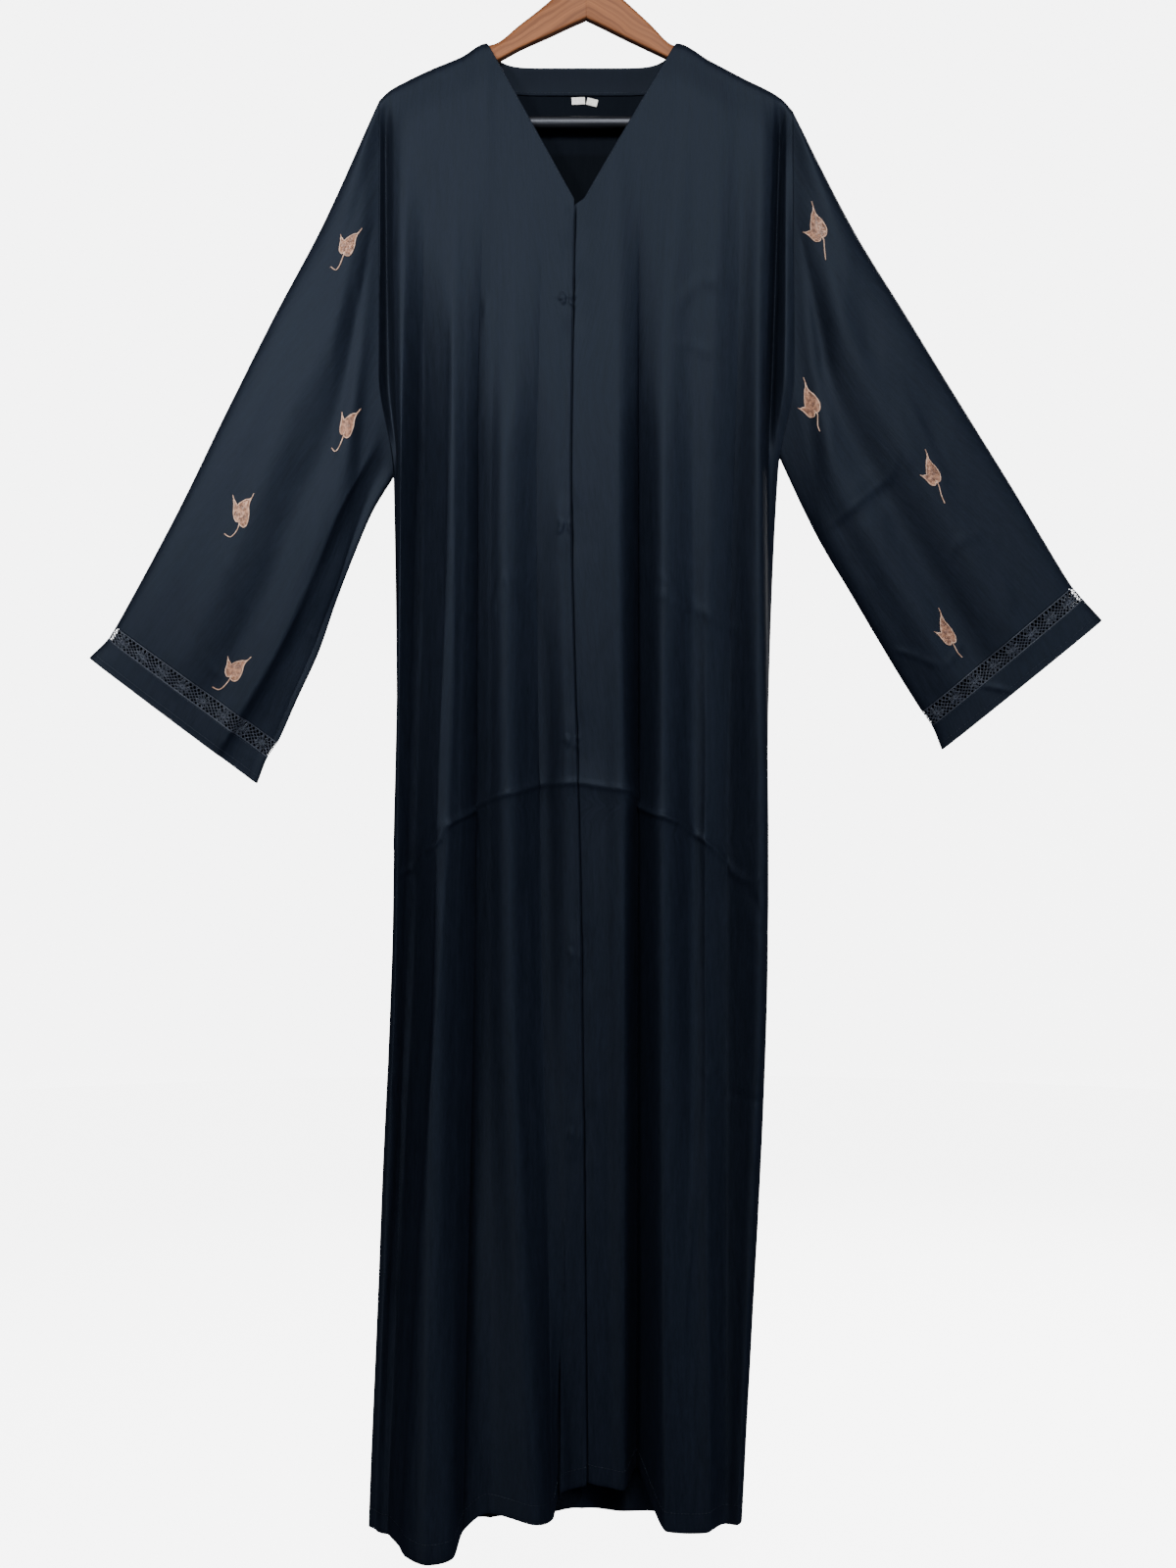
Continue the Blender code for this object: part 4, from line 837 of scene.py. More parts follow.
def left_front():
    """Points, outward normals and relief of the left front, from its edge under the lap."""
    lap, above = under_lap()
    shown, _ = front_panel(FRONT_LEFT, FRONT_LEFT_FOLDS, NECK_LEFT, V_LEFT, LEFT_ARMPITS)
    lap[..., 1] -= fold_relief(above[..., 0], -above[..., 2], FRONT_RIGHT, FRONT_RIGHT_FOLDS)
    join = np.linspace(0, 1, BRIDGE_COLUMNS + 2)[1:-1, None, None]
    bridge = np.moveaxis(lap[:, -1] + (shown[:, 0] - lap[:, -1]) * join, 0, 1)
    points = np.concatenate([lap, bridge, shown], axis=1)
    across, drop = points[..., 0], -points[..., 2]
    relief = front_relief(across, drop)
    relief[:, :LAP_COLUMNS] = front_relief(above[..., 0], -above[..., 2])
    relief = relief + along_edge(across, drop, *EDGE_GROOVE)
    steps = np.arange(points.shape[1]) - float(HIDDEN_COLUMNS)
    relief = relief + LAP_COMES_OUT * ease((10.0 - steps) / 12.0) * studs_apart(drop)
    return points, outward(points, BEHIND_FRONTS), relief


def back_panel():
    """Points, outward normals and relief of the back."""

    def top_line(across):
        inside = (across > NECK_RIGHT) & (across < NECK_LEFT)
        return np.where(inside, back_neck_line(across), shoulder_drop(across))

    points = panel_grid(BACK, fold_places(BACK), top_line, 1, (ARMPIT_RIGHT, ARMPIT_LEFT))
    points = drawn_in(points, 1, BACK, BACK_FOLDS)
    relief = panel_relief(points[..., 0], -points[..., 2], BACK_CREASES, BACK_SEED)
    return points, outward(points, 0.0), relief


def armhole_angles(drops):
    """The angle round the sleeve at which each of the armhole's drops lies, as on the solid."""
    crest_rows, yoke_rows = SOLID_ROWS
    even = np.linspace(0, 1, yoke_rows + 1)
    rows = row_drops(drops[0], drops[-1], drops[-1] + 1, crest_rows, even, even)
    rows = rows[: crest_rows + yoke_rows + 1, 0]
    return through(rows, np.linspace(0, math.pi, len(rows)), drops)


def sleeve_loops(sections, stations, front_angles, back_angles):
    """Loops of points round a sleeve: the front's columns first, then the back's."""
    front = sleeve_points(sections, stations, front_angles, -1)
    back = sleeve_points(sections, stations, back_angles, 1)
    return np.concatenate([front, back[:, -2:0:-1]], axis=1)


def sleeve_shell(sections, front_edge, back_edge, creases, seed):
    """Points, outward normals and relief of a sleeve, from the armhole's points to its lace."""
    angles = armhole_angles(-front_edge[:, 2])
    armhole = np.concatenate([front_edge, back_edge[-2:0:-1]])
    stations = np.linspace(0, len(sections) - 3.0, SLEEVE_ROWS + 1)[:, None]
    loops = sleeve_loops(sections, stations, angles, angles)
    fit = (1 - ease(stations / FIT_SECTIONS))[..., None]
    points = loops + (armhole - loops[0]) * fit
    relief = face_relief(points, len(angles), creases, seed) * ease(stations / 0.5)
    return points, outward(points, 0.0, closed=True), relief


def creased_ring(sections, stations, count, creases, seed):
    """Loops of points between a sleeve's sections, with their outward normals and their relief."""
    middle = float(np.mean(stations))
    front_angles, back_angles = (even_angles(sections, middle, side, count) for side in (-1, 1))
    points = sleeve_loops(sections, np.asarray(stations)[:, None], front_angles, back_angles)
    return points, outward(points, 0.0, closed=True), face_relief(points, count, creases, seed)


# ---- meshes ----
GRAIN_MAP = "grain"
ROLL_ANGLES = (0, 45, 90, 135, 180)


def closed_round(grid):
    """A grid whose first column follows its last one again."""
    return np.concatenate([grid, grid[:, :1]], axis=1)


def ring_faces(rings, size, closed=True):
    """Four-cornered faces between rings of points."""
    faces = []
    for ring in range(rings - 1):
        for k in range(size if closed else size - 1):
            a, b = ring * size + k, ring * size + (k + 1) % size
            faces.append((a, b, b + size, a + size))
    return faces


def turned_in(points, normals, edge, depth, radius):
    """The same cloth with one of its edges rolled over to the inside, depth rows deep."""
    swap, flip = edge in ("first", "last"), edge in ("top", "first")

    def edge_last(grid):
        grid = np.swapaxes(grid, 0, 1) if swap else grid
        return grid[::-1] if flip else grid

    def as_before(grid):
        grid = grid[::-1] if flip else grid
        return np.swapaxes(grid, 0, 1) if swap else grid

    points, normals = edge_last(points), edge_last(normals)
    up = normals[-1]
    away = points[-1] - points[-2]
    away = unit(away - (away * up).sum(axis=1, keepdims=True) * up)
    tip = points[-1] - away * radius
    rolled = [
        (tip + away * radius * math.sin(angle) - up * radius * (1 - math.cos(angle)))[None]
        for angle in np.radians(ROLL_ANGLES)
    ]
    inner = slice(-2, -2 - depth, -1)
    points = np.concatenate([points[:-1], *rolled, points[inner] - normals[inner] * 2 * radius])
    normals = np.concatenate([normals[:-1], *[up[None]] * len(rolled), normals[inner]])
    return as_before(points), as_before(normals)


def linked(name, data):
    """A new object in the scene."""
    made = bpy.data.objects.new(name, data)
    bpy.context.scene.collection.objects.link(made)
    return made


def smooth_mesh(name, vertices, faces, finish):
    """A smooth-shaded mesh from points in millimetres."""
    mesh = bpy.data.meshes.new(name)
    mesh.from_pydata((np.asarray(vertices) * MM).tolist(), [], faces)
    mesh.update()
    mesh.shade_smooth()
    mesh.materials.append(finish)
    return mesh


def new_piece(name, vertices, faces, finish, slot, replaces=False):
    """One named piece, which rides on the cloak's one body and may stand for its solid."""
    made = linked(name, smooth_mesh(name, vertices, faces, finish))
    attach(made, "root")
    if replaces:
        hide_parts(name)
    return made


def grid_piece(name, points, finish, slot, replaces=False, closed=False, facing_out=True):
    """A smooth sheet from a grid, with its grain laid along it in metres across and down."""
    rows, columns = points.shape[:2]
    wide = columns + 1 if closed else columns
    ring = closed_round(points) if closed else points
    run_across = run_along(ring, 1)
    run_across -= run_across[:, wide // 2][:, None]
    grain = np.stack([run_across.ravel(), run_along(ring).ravel()], axis=-1) * MM
    row, column = np.meshgrid(np.arange(rows - 1), np.arange(wide - 1), indexing="ij")
    row, column = row.ravel(), column.ravel()
    corners = np.stack([(row, column), (row, column + 1), (row + 1, column + 1), (row + 1, column)])
    corners = corners if facing_out else corners[::-1]
    faces = (corners[:, 0] * columns + corners[:, 1] % columns).T
    made = new_piece(name, points.reshape(-1, 3), faces.tolist(), finish, slot, replaces)
    layer = made.data.uv_layers.new(name=GRAIN_MAP)
    places = grain[(corners[:, 0] * wide + corners[:, 1]).T.ravel()]
    layer.uv.foreach_set("vector", places.astype(np.float32).ravel())
    return made


def faces_out(points, normals, closed=False):
    """Whether a grid's own winding already shows its outside."""
    return bool((grid_normals(points, closed) * normals).sum() < 0)


def cut_size(points, closed=False):
    """The cut of a sheet in metres: its widest row and its longest column, and its area."""
    points = closed_round(points) if closed else points
    along, down = np.diff(points, axis=1), np.diff(points, axis=0)
    halves = ((down[:, :-1], along[:-1]), (down[:, 1:], along[1:]))
    area = sum(np.linalg.norm(np.cross(a, b), axis=-1).sum() for a, b in halves) / 2
    widths, lengths = (np.linalg.norm(v, axis=2).sum(axis=axis) for v, axis in ((along, 1), (down, 0)))
    return (float(widths.max()) * MM, float(lengths.max()) * MM), float(area) * MM * MM


def tube(line, radius, sides=6, up=None):
    """Vertices and faces of a round thread along a line of points, with closed ends."""
    line = np.asarray(line, float)
    tangent = unit(np.gradient(line, axis=0))
    side = unit(np.cross(tangent, np.array((0.0, -1.0, 0.0)) if up is None else np.asarray(up, float)))
    top = np.cross(side, tangent)
    angles = (np.arange(sides) * 2 * math.pi / sides)[None, :, None]
    radius = np.broadcast_to(radius, (len(line),))[:, None, None]
    ring = line[:, None] + radius * (side[:, None] * np.cos(angles) + top[:, None] * np.sin(angles))
    faces = ring_faces(len(line), sides)
    faces.append(tuple(range(sides))[::-1])
    faces.append(tuple((len(line) - 1) * sides + k for k in range(sides)))
    return ring.reshape(-1, 3), faces


def joined(parts):
    """Several (vertices, faces) as one."""
    vertices, faces, first = [], [], 0
    for part_vertices, part_faces in parts:
        vertices.append(np.asarray(part_vertices))
        faces.extend(tuple(v + first for v in face) for face in part_faces)
        first += len(part_vertices)
    return np.concatenate(vertices), faces


# ---- stitches ----
STITCH_LENGTH = 2.6
STITCH_PITCH = 3.4
STITCH_RADIUS = 0.19
STITCH_SHAPE = (  # along it, how high it lies and how thick it is
    (0.0, -0.6, 0.55), (0.18, 0.5, 1.0), (0.5, 1.0, 1.0), (0.82, 0.5, 1.0), (1.0, -0.6, 0.55),
)
STITCH_LIFT = 0.05  # off the cloth's face


def one_stitch(start, end, up, radius=STITCH_RADIUS, lift=0.25):
    """A short thread that comes out of the cloth, lies on it and goes back in."""
    line = [start + (end - start) * along + up * lift * rise for along, rise, _ in STITCH_SHAPE]
    return tube(line, [radius * thick for _, _, thick in STITCH_SHAPE], 5, up)


def stitch_row(face, normals, row, columns=slice(None), lift=STITCH_LIFT):
    """Topstitching along one of the rows of the cloth's face."""
    normals = normals[row][columns]
    line = face[row][columns] + normals * lift
    run = run_along(line)
    at = np.arange(STITCH_PITCH / 2, run[-1] - STITCH_PITCH / 2, STITCH_PITCH)
    spots, ups = (
        np.stack([np.interp(at, run, grid[:, k]) for k in range(3)], axis=1) for grid in (line, normals)
    )
    half = unit(np.gradient(spots, axis=0)) * (STITCH_LENGTH / 2)
    return [one_stitch(s - h, s + h, u) for s, h, u in zip(spots, half, unit(ups))]


def stitches_piece(name, *rows):
    """Rows of stitching as one piece."""
    return new_piece(name, *joined([stitch for row in rows for stitch in row]), SEWING_THREAD, "black_cloth")


# ---- lace ----
LACE_THREAD = 0.37
LACE_PETAL = 0.36
LACE_CORD = 0.45
CORD_PLACES = (0.03, 0.97)  # shares of the band's width
NET_CELLS_ACROSS = 4
NET_STEPS = 26
NET_LIFT = 0.2  # by which one thread passes over the next
NET_EDGE = 0.02  # share of the band's width that the net leaves free along each edge
FLOWERS_BETWEEN = (0.105, 0.935)  # shares of the band at which the first and the last flower stand
FLOWER_GAP = 4.4  # the net leaves this much round a flower's middle to it
NET_CELLS_PER_FLOWER = 5
FLOWER_PETALS = 8
FLOWER_EYE = 1.3
PETAL_LENGTH = 6.2
FLOWER_RING = 1.1


class Band:
    """A strip of cloth in which a place is a distance along it and a share of its width."""

    def __init__(self, points, normals):
        self.points = points
        self.normals = normals
        self.run = run_along(points[len(points) // 2])
        self.width = float(np.linalg.norm(points[-1] - points[0], axis=1).mean())
        self.length = float(self.run[-1])

    def thread(self, along, share, lift, radius, sides):
        """A thread through places on the band, lifted off it."""
        along, share, lift = np.broadcast_arrays(along, share, lift)
        rows, columns = self.points.shape[:2]
        column = np.clip(np.interp(along, self.run, np.arange(columns)), 0, columns - 1.001)
        row = np.clip(share * (rows - 1), 0, rows - 1.001)
        i, j = np.floor(row).astype(int), np.floor(column).astype(int)
        s, t = (row - i)[..., None], (column - j)[..., None]

        def mix(grid):
            upper = grid[i, j] * (1 - t) + grid[i, j + 1] * t
            lower = grid[i + 1, j] * (1 - t) + grid[i + 1, j + 1] * t
            return upper * (1 - s) + lower * s

        normal = mix(self.normals)
        return tube(mix(self.points) + normal * lift[..., None], radius, sides, normal)


def lace_half(band, flowers):
    """The threads of one half of a sleeve's lace: net, flowers and two cords."""
    parts = []
    cell = band.length / flowers / NET_CELLS_PER_FLOWER
    reach = cell * NET_CELLS_ACROSS
    steps = np.arange(NET_STEPS + 1)
    share = NET_EDGE + (1 - 2 * NET_EDGE) * steps / NET_STEPS
    centres = band.length * np.linspace(*FLOWERS_BETWEEN, flowers - 1)
    for way in (1, -1):
        starts = np.arange(-NET_CELLS_ACROSS - 1, NET_CELLS_PER_FLOWER * flowers + 2) * cell
        for number, start in enumerate(starts):
            along = start + (share if way > 0 else 1 - share) * reach
            lift = NET_LIFT * way * np.cos(steps * 4 * math.pi / NET_STEPS + number * math.pi / 2)
            across = (share[:, None] - 0.5) * band.width
            clear = np.hypot(along[:, None] - centres, across).min(axis=1) > FLOWER_GAP
            inside = (along >= 0) & (along <= band.length) & clear
            for run in np.split(steps, np.flatnonzero(np.diff(inside)) + 1):
                if inside[run[0]] and len(run) > 1:
                    parts.append(band.thread(along[run], share[run], lift[run], LACE_THREAD, 4))
    for centre in centres:
        parts.extend(lace_flower(band, centre))
    for edge in CORD_PLACES:
        parts.append(band.thread(np.linspace(0, band.length, 150), edge, 0.25, LACE_CORD, 6))
    return joined(parts)


def lace_flower(band, centre):
    """An open flower: petals as loops of thread round a small ring."""
    parts = []
    turn = np.linspace(0, 2 * math.pi, 11)
    for petal in range(FLOWER_PETALS):
        aim = (petal + 0.5) * 2 * math.pi / FLOWER_PETALS
        out = FLOWER_EYE + PETAL_LENGTH * (0.5 - 0.5 * np.cos(turn))
        aside = 1.0 * np.sin(turn) * (0.45 + 0.55 * (out - FLOWER_EYE) / PETAL_LENGTH)
        along = centre + out * math.cos(aim) - aside * math.sin(aim)
        down = out * math.sin(aim) + aside * math.cos(aim)
        share = np.clip(0.5 + down / band.width, NET_EDGE, 1 - NET_EDGE)
        parts.append(band.thread(np.clip(along, 0.2, band.length - 0.2), share, 0.42, LACE_PETAL, 5))
    ring = np.linspace(0, 2 * math.pi, 9)
    along = centre + FLOWER_RING * np.cos(ring)
    share = 0.5 + FLOWER_RING * np.sin(ring) / band.width
    parts.append(band.thread(along, share, 0.5, LACE_PETAL, 5))
    return parts


# ---- embroidered leaves ----
# A leaf is drawn between its base, its long tip and its small tip: (share towards the long tip,
# share towards the small tip).
LEAF_OUTLINE = (
    (0.00, 0.12), (-0.09, 0.20), (-0.15, 0.32), (-0.19, 0.52), (-0.17, 0.63), (-0.11, 0.74), (-0.05, 0.85),
    (0.00, 1.00), (0.07, 0.80), (0.14, 0.60), (0.28, 0.54), (0.49, 0.40), (0.70, 0.24), (0.84, 0.09),
    (1.00, 0.00), (0.82, 0.00), (0.71, -0.10), (0.65, -0.25), (0.57, -0.34), (0.48, -0.40),
    (0.35, -0.41), (0.20, -0.31), (0.08, -0.12),
)
LEAF_STEM = ((0.10, 0.10), (-0.04, -0.01))
LEAF_MIDDLE = (0.22, 0.22)
OUTLINE_POINTS = 76
PAD_RINGS = ((1.0, 0.10), (0.75, 0.34), (0.5, 0.42), (0.25, 0.45))  # share of the outline, height
PAD_HEIGHT = 0.46
PAD_SEWN = 0.93  # share of the outline within which its stitches lie
ON_PAD = 0.42
ON_RIM = 0.50
Leaf = namedtuple("Leaf", "base long_tip small_tip stem_bend stem_end")
RIM_THREAD = 0.52
STEM_THREAD = 0.50
TIP_THREAD = (0.55, 0.25)
TIP_REACH = 1.15
FILL_THREAD = 0.27
FILL_LIFT = 0.22
FILL_STITCHES = 130
SLEEVE_RIGHT_LEAVES = {
    "front": (
        Leaf((-347, 751.3), (-328.5, 732.6), (-348.7, 732.1), (-358.3, 761.5), (-364, 759)),
        Leaf((-235.6, 343), (-220.9, 319.3), (-238.4, 325), (-243.5, 357.5), (-247.9, 354.4)),
        Leaf((-236.1, 517.4), (-222.3, 492.8), (-237.5, 496.6), (-244.5, 531.6), (-247.9, 528)),
        Leaf((-336.3, 603.1), (-323.7, 576.8), (-341.8, 577.9), (-345.4, 614.7), (-350.8, 611.5)),
    ),
    "back": (
        Leaf((-250, 372), (-262, 344), (-240, 352), (-243, 392), (-237, 391)),
        Leaf((-330, 512), (-345, 486), (-321, 491), (-321, 531), (-315, 529)),
        Leaf((-262, 596), (-276, 570), (-252, 575), (-254, 615), (-248, 613)),
        Leaf((-356, 700), (-372, 675), (-347, 679), (-346, 719), (-340, 717)),
    ),
}
SLEEVE_LEFT_LEAVES = {
    "front": (
        Leaf((227.1, 326.3), (217.7, 294.1), (210.5, 319.3), (228.6, 340), (229.4, 347.5)),
        Leaf((221.8, 494.7), (210.5, 463.4), (206.1, 489), (222.5, 505), (224.5, 512)),
        Leaf((337.1, 563.3), (326.5, 534.5), (321.9, 556.3), (340.5, 575), (343.8, 582.5)),
        Leaf((353.6, 717.4), (341.3, 687.1), (337.1, 707), (358, 726), (362.5, 730.5)),
    ),
    "back": (
        Leaf((250, 378), (262, 350), (240, 357), (243, 398), (237, 396)),
        Leaf((336, 504), (350, 477), (326, 483), (327, 523), (321, 521)),
        Leaf((270, 590), (284, 563), (260, 569), (262, 609), (256, 607)),
        Leaf((366, 676), (381, 650), (357, 655), (357, 695), (351, 693)),
    ),
}


def leaf_place(leaf, shares):
    """(across, drop) of places given as shares towards the leaf's two tips."""
    base, long_tip, small_tip = (np.array(p, float) for p in (leaf.base, leaf.long_tip, leaf.small_tip))
    shares = np.asarray(shares, float)
    return base + shares[:, :1] * (long_tip - base) + shares[:, 1:] * (small_tip - base)


def closed_curve(points, count):
    """A smooth closed line through points, with its sharp tips kept."""
    ring = np.concatenate([points, points[:1]])
    run = run_along(ring)
    at = np.linspace(0, run[-1], count, endpoint=False)
    return np.stack([through(run, ring[:, k], at) for k in (0, 1)], axis=1)


def inside_outline(spots, outline):
    """Which spots lie inside a closed outline."""
    x, y = spots[:, 0][:, None], spots[:, 1][:, None]
    ax, ay = outline[:, 0][None], outline[:, 1][None]
    bx, by = np.roll(outline[:, 0], -1)[None], np.roll(outline[:, 1], -1)[None]
    crosses = (ay > y) != (by > y)
    slope = np.where(by == ay, 1.0, by - ay)
    return (crosses & (x < ax + (bx - ax) * (y - ay) / slope)).sum(axis=1) % 2 == 1


class Face:
    """The outside of one face of a sleeve, found from the front or the back."""

    def __init__(self, points, side):
        faces = ring_faces(*points.shape[:2], closed=False)
        self.tree = BVHTree.FromPolygons(points.reshape(-1, 3).tolist(), faces)
        self.side = side

    def at(self, places, lift):
        """Points on the face at (across, drop), lifted off it, and its normals."""
        spots, normals = [], []
        for across, drop in np.asarray(places, float):
            start = Vector((across, self.side * 300.0, -drop))
            hit, normal, _, _ = self.tree.ray_cast(start, Vector((0, -self.side, 0)), 600.0)
            if hit is None:
                hit, normal, _, _ = self.tree.find_nearest(Vector((across, self.side * 30.0, -drop)))
            if normal.y * self.side < 0:
                normal = -normal
            spots.append(np.array(hit) + np.array(normal) * lift)
            normals.append(np.array(normal))
        return np.array(spots), np.array(normals)

    def thread(self, places, lift, radius):
        """A thread that lies on the face through some places."""
        line, up = self.at(places, lift)
        return tube(line, radius, 6, up)


def leaf_meshes(leaf, face, seed):
    """The leaf's pad of seed stitches, and its rim and stem of corded thread."""
    outline = closed_curve(leaf_place(leaf, LEAF_OUTLINE), OUTLINE_POINTS)
    middle = leaf_place(leaf, [LEAF_MIDDLE])[0]
    rings = [face.at(outline * share + middle * (1 - share), lift)[0] for share, lift in PAD_RINGS]
    faces = ring_faces(len(PAD_RINGS), OUTLINE_POINTS)
    last = (len(PAD_RINGS) - 1) * OUTLINE_POINTS
    faces.extend(
        (last + k, last + (k + 1) % OUTLINE_POINTS, last + OUTLINE_POINTS) for k in range(OUTLINE_POINTS)
    )
    fill = [(np.concatenate([*rings, face.at([middle], PAD_HEIGHT)[0]]), faces)]
    draw = np.random.default_rng(seed)
    spots = draw.uniform(outline.min(axis=0), outline.max(axis=0), (FILL_STITCHES * 4, 2))
    sewn = outline * PAD_SEWN + middle * (1 - PAD_SEWN)
    spots = spots[inside_outline(spots, sewn)][:FILL_STITCHES]
    aim = np.arctan2(*(np.array(leaf.long_tip) - np.array(leaf.base))[::-1])
    turns = aim + draw.normal(0.0, 0.75, len(spots))
    halves = draw.uniform(0.6, 1.1, len(spots))[:, None] * np.stack([np.cos(turns), np.sin(turns)], axis=1)
    starts, ups = face.at(spots - halves, ON_PAD)
    ends, _ = face.at(spots + halves, ON_PAD)
    fill.extend(one_stitch(s, e, u, FILL_THREAD, FILL_LIFT) for s, e, u in zip(starts, ends, ups))
    rim = [face.thread(np.concatenate([outline, outline[:2]]), ON_RIM, RIM_THREAD)]
    for tip in ((1.0, 0.0), (0.0, 1.0)):
        past = (tip[0] * TIP_REACH, tip[1] * TIP_REACH)
        rim.append(face.thread(leaf_place(leaf, [tip, past]), ON_PAD, TIP_THREAD))
    stem = np.concatenate([leaf_place(leaf, LEAF_STEM), [leaf.stem_bend], [leaf.stem_end]])
    rim.append(face.thread(smooth_path(stem, 22), ON_RIM, STEM_THREAD))
    return fill, rim


# ---- finishes ----
WHITE = (1.0, 1.0, 1.0)
# painted shade: the inside's colour darkens over these metres below its top edge
PAINTED_SHADE_OVER = (0.068, 0.090)  # metres below its top edge in which the inside goes dark
SILK_SHEEN = (0.05, 0.35)  # its weight and its roughness


def fill(tree, made, values):
    """Fill a node's inputs, by their number or name: a socket is linked and a value is set."""
    for key, value in values.items():
        if isinstance(value, bpy.types.NodeSocket):
            tree.links.new(value, made.inputs[key])
        else:
            made.inputs[key].default_value = value
    return made


def add(tree, kind, values, **settings):
    """A new shader node with its settings and its inputs."""
    made = tree.nodes.new("ShaderNode" + kind)
    for setting, value in settings.items():
        setattr(made, setting, value)
    return fill(tree, made, values)


def math_node(tree, operation, first, second):
    return add(tree, "Math", {0: first, 1: second}, operation=operation).outputs[0]


def weighted(tree, *terms):
    """The sum of masks, each given with its weight."""
    total, *others = (math_node(tree, "MULTIPLY", mask, weight) for mask, weight in terms)
    for other in others:
        total = math_node(tree, "ADD", total, other)
    return total


def noise_node(tree, vector, scale, detail=2.0, roughness=0.5):
    values = {"Scale": scale, "Detail": detail, "Roughness": roughness, "Vector": vector}
    return add(tree, "TexNoise", values).outputs["Fac"]


def split_up(tree, vector):
    return add(tree, "SeparateXYZ", {0: vector}).outputs


def object_place(tree):
    return add(tree, "TexCoord", {}).outputs["Object"]


def grain_place(tree):
    """Metres across and down the cloth."""
    return split_up(tree, add(tree, "UVMap", {}, uv_map=GRAIN_MAP).outputs[0])[:2]


def divided(tree, places, sizes):
    """A texture place from distances, each over the size of a patch in its direction."""
    shares = {k: math_node(tree, "DIVIDE", place, size) for k, (place, size) in enumerate(zip(places, sizes))}
    return add(tree, "CombineXYZ", shares).outputs[0]


def new_group(name, inputs, outputs):
    """An empty node group with number inputs, given as (name, value), and number outputs."""
    group = bpy.data.node_groups.new(name, "ShaderNodeTree")
    for socket, value in inputs:
        made = group.interface.new_socket(name=socket, in_out="INPUT", socket_type="NodeSocketFloat")
        made.default_value = value
    for socket in outputs:
        group.interface.new_socket(name=socket, in_out="OUTPUT", socket_type="NodeSocketFloat")
    return group, group.nodes.new("NodeGroupInput").outputs, group.nodes.new("NodeGroupOutput")


def crepe_group():
    """Crepe cloth: fine crinkles along its length, over a weave too small to see."""
    inputs = (("Crinkle Width", 0.0016), ("Crinkle Length", 0.012))
    group, (wide, long, _), outside = new_group("crepe weave", inputs, ("Height", "Shade"))
    grain = grain_place(group)
    fine = noise_node(group, divided(group, grain, (wide, long)), 1.0, 3.0, 0.6)
    broad_size = math_node(group, "MULTIPLY", wide, 3.1), math_node(group, "MULTIPLY", long, 3.4)
    broad = noise_node(group, divided(group, grain, broad_size), 1.0, 1.0)
    thread = noise_node(group, divided(group, grain, (0.0005, 0.0005)), 1.0, 1.0)
    patch = noise_node(group, divided(group, grain, (0.0045, 0.045)), 1.0, 3.0, 0.65)
    height = weighted(group, (fine, 0.45), (broad, 0.45), (thread, 0.10))
    fill(group, outside, {0: height, 1: weighted(group, (patch, 0.55), (fine, 0.45))})
    return group


def fibre_group():
    """Spun thread: a fine twist and specks, wherever the thread goes."""
    group, (twist, _), outside = new_group("spun thread", (("Twist Scale", 1400.0),), ("Height", "Shade"))
    scaled = add(group, "VectorMath", {0: object_place(group), "Scale": twist}, operation="SCALE").outputs[0]
    fill(group, outside, {0: noise_node(group, scaled, 1.0), 1: noise_node(group, scaled, 0.22)})
    return group


def wood_group():
    """Wood grain that runs along each arm: fine lines, darker bands and pores."""
    inputs = (("Line Width", 0.0011),)
    group, (width, _), outside = new_group("wood grain", inputs, ("Height", "Band", "Line"))
    place = object_place(group)
    across, depth, rise = split_up(group, place)
    lean = math_node(group, "MULTIPLY", math_node(group, "ABSOLUTE", across, 0.0), 0.62)
    height = math_node(group, "ADD", rise, lean)
    warp = noise_node(group, place, 22.0)
    bent = math_node(group, "ADD", height, math_node(group, "MULTIPLY", warp, 0.012))
    lines = divided(group, (across, depth, bent), (0.05, 0.004, width))
    line = noise_node(group, lines, 1.0, 3.0, 0.6)
    fill(group, outside, {0: line, 1: noise_node(group, lines, 0.22), 2: line})
    return group


def new_material(name, **sockets):
    """A material, its nodes and its shader, with the shader's values by name."""
    made = bpy.data.materials.new(name)
    made.use_nodes = True
    tree = made.node_tree
    values = {socket.replace("_", " "): value for socket, value in sockets.items()}
    return made, tree, fill(tree, tree.nodes["Principled BSDF"], values)


def masks(tree, group, values=None):
    """The outputs of a node group set into a material."""
    return add(tree, "Group", values or {}, node_tree=group).outputs


def two_tone(tree, shader, mask, dark, light, low=0.35, high=0.65):
    """Base colour that goes from dark to light with a mask."""
    ramp = add(tree, "ValToRGB", {0: mask})
    for stop, place, colour in zip(ramp.color_ramp.elements, (low, high), (dark, light)):
        stop.position = place
        stop.color = (*colour, 1.0)
    fill(tree, shader, {"Base Color": ramp.outputs[0]})
    return ramp


def bumped(tree, shader, height, strength, distance):
    bump = add(tree, "Bump", {"Strength": strength, "Distance": distance, "Height": height})
    fill(tree, shader, {"Normal": bump.outputs[0]})


def varied_roughness(tree, shader, mask, low, high):
    span = add(tree, "MapRange", {"To Min": low, "To Max": high, "Value": mask})
    fill(tree, shader, {"Roughness": span.outputs[0]})


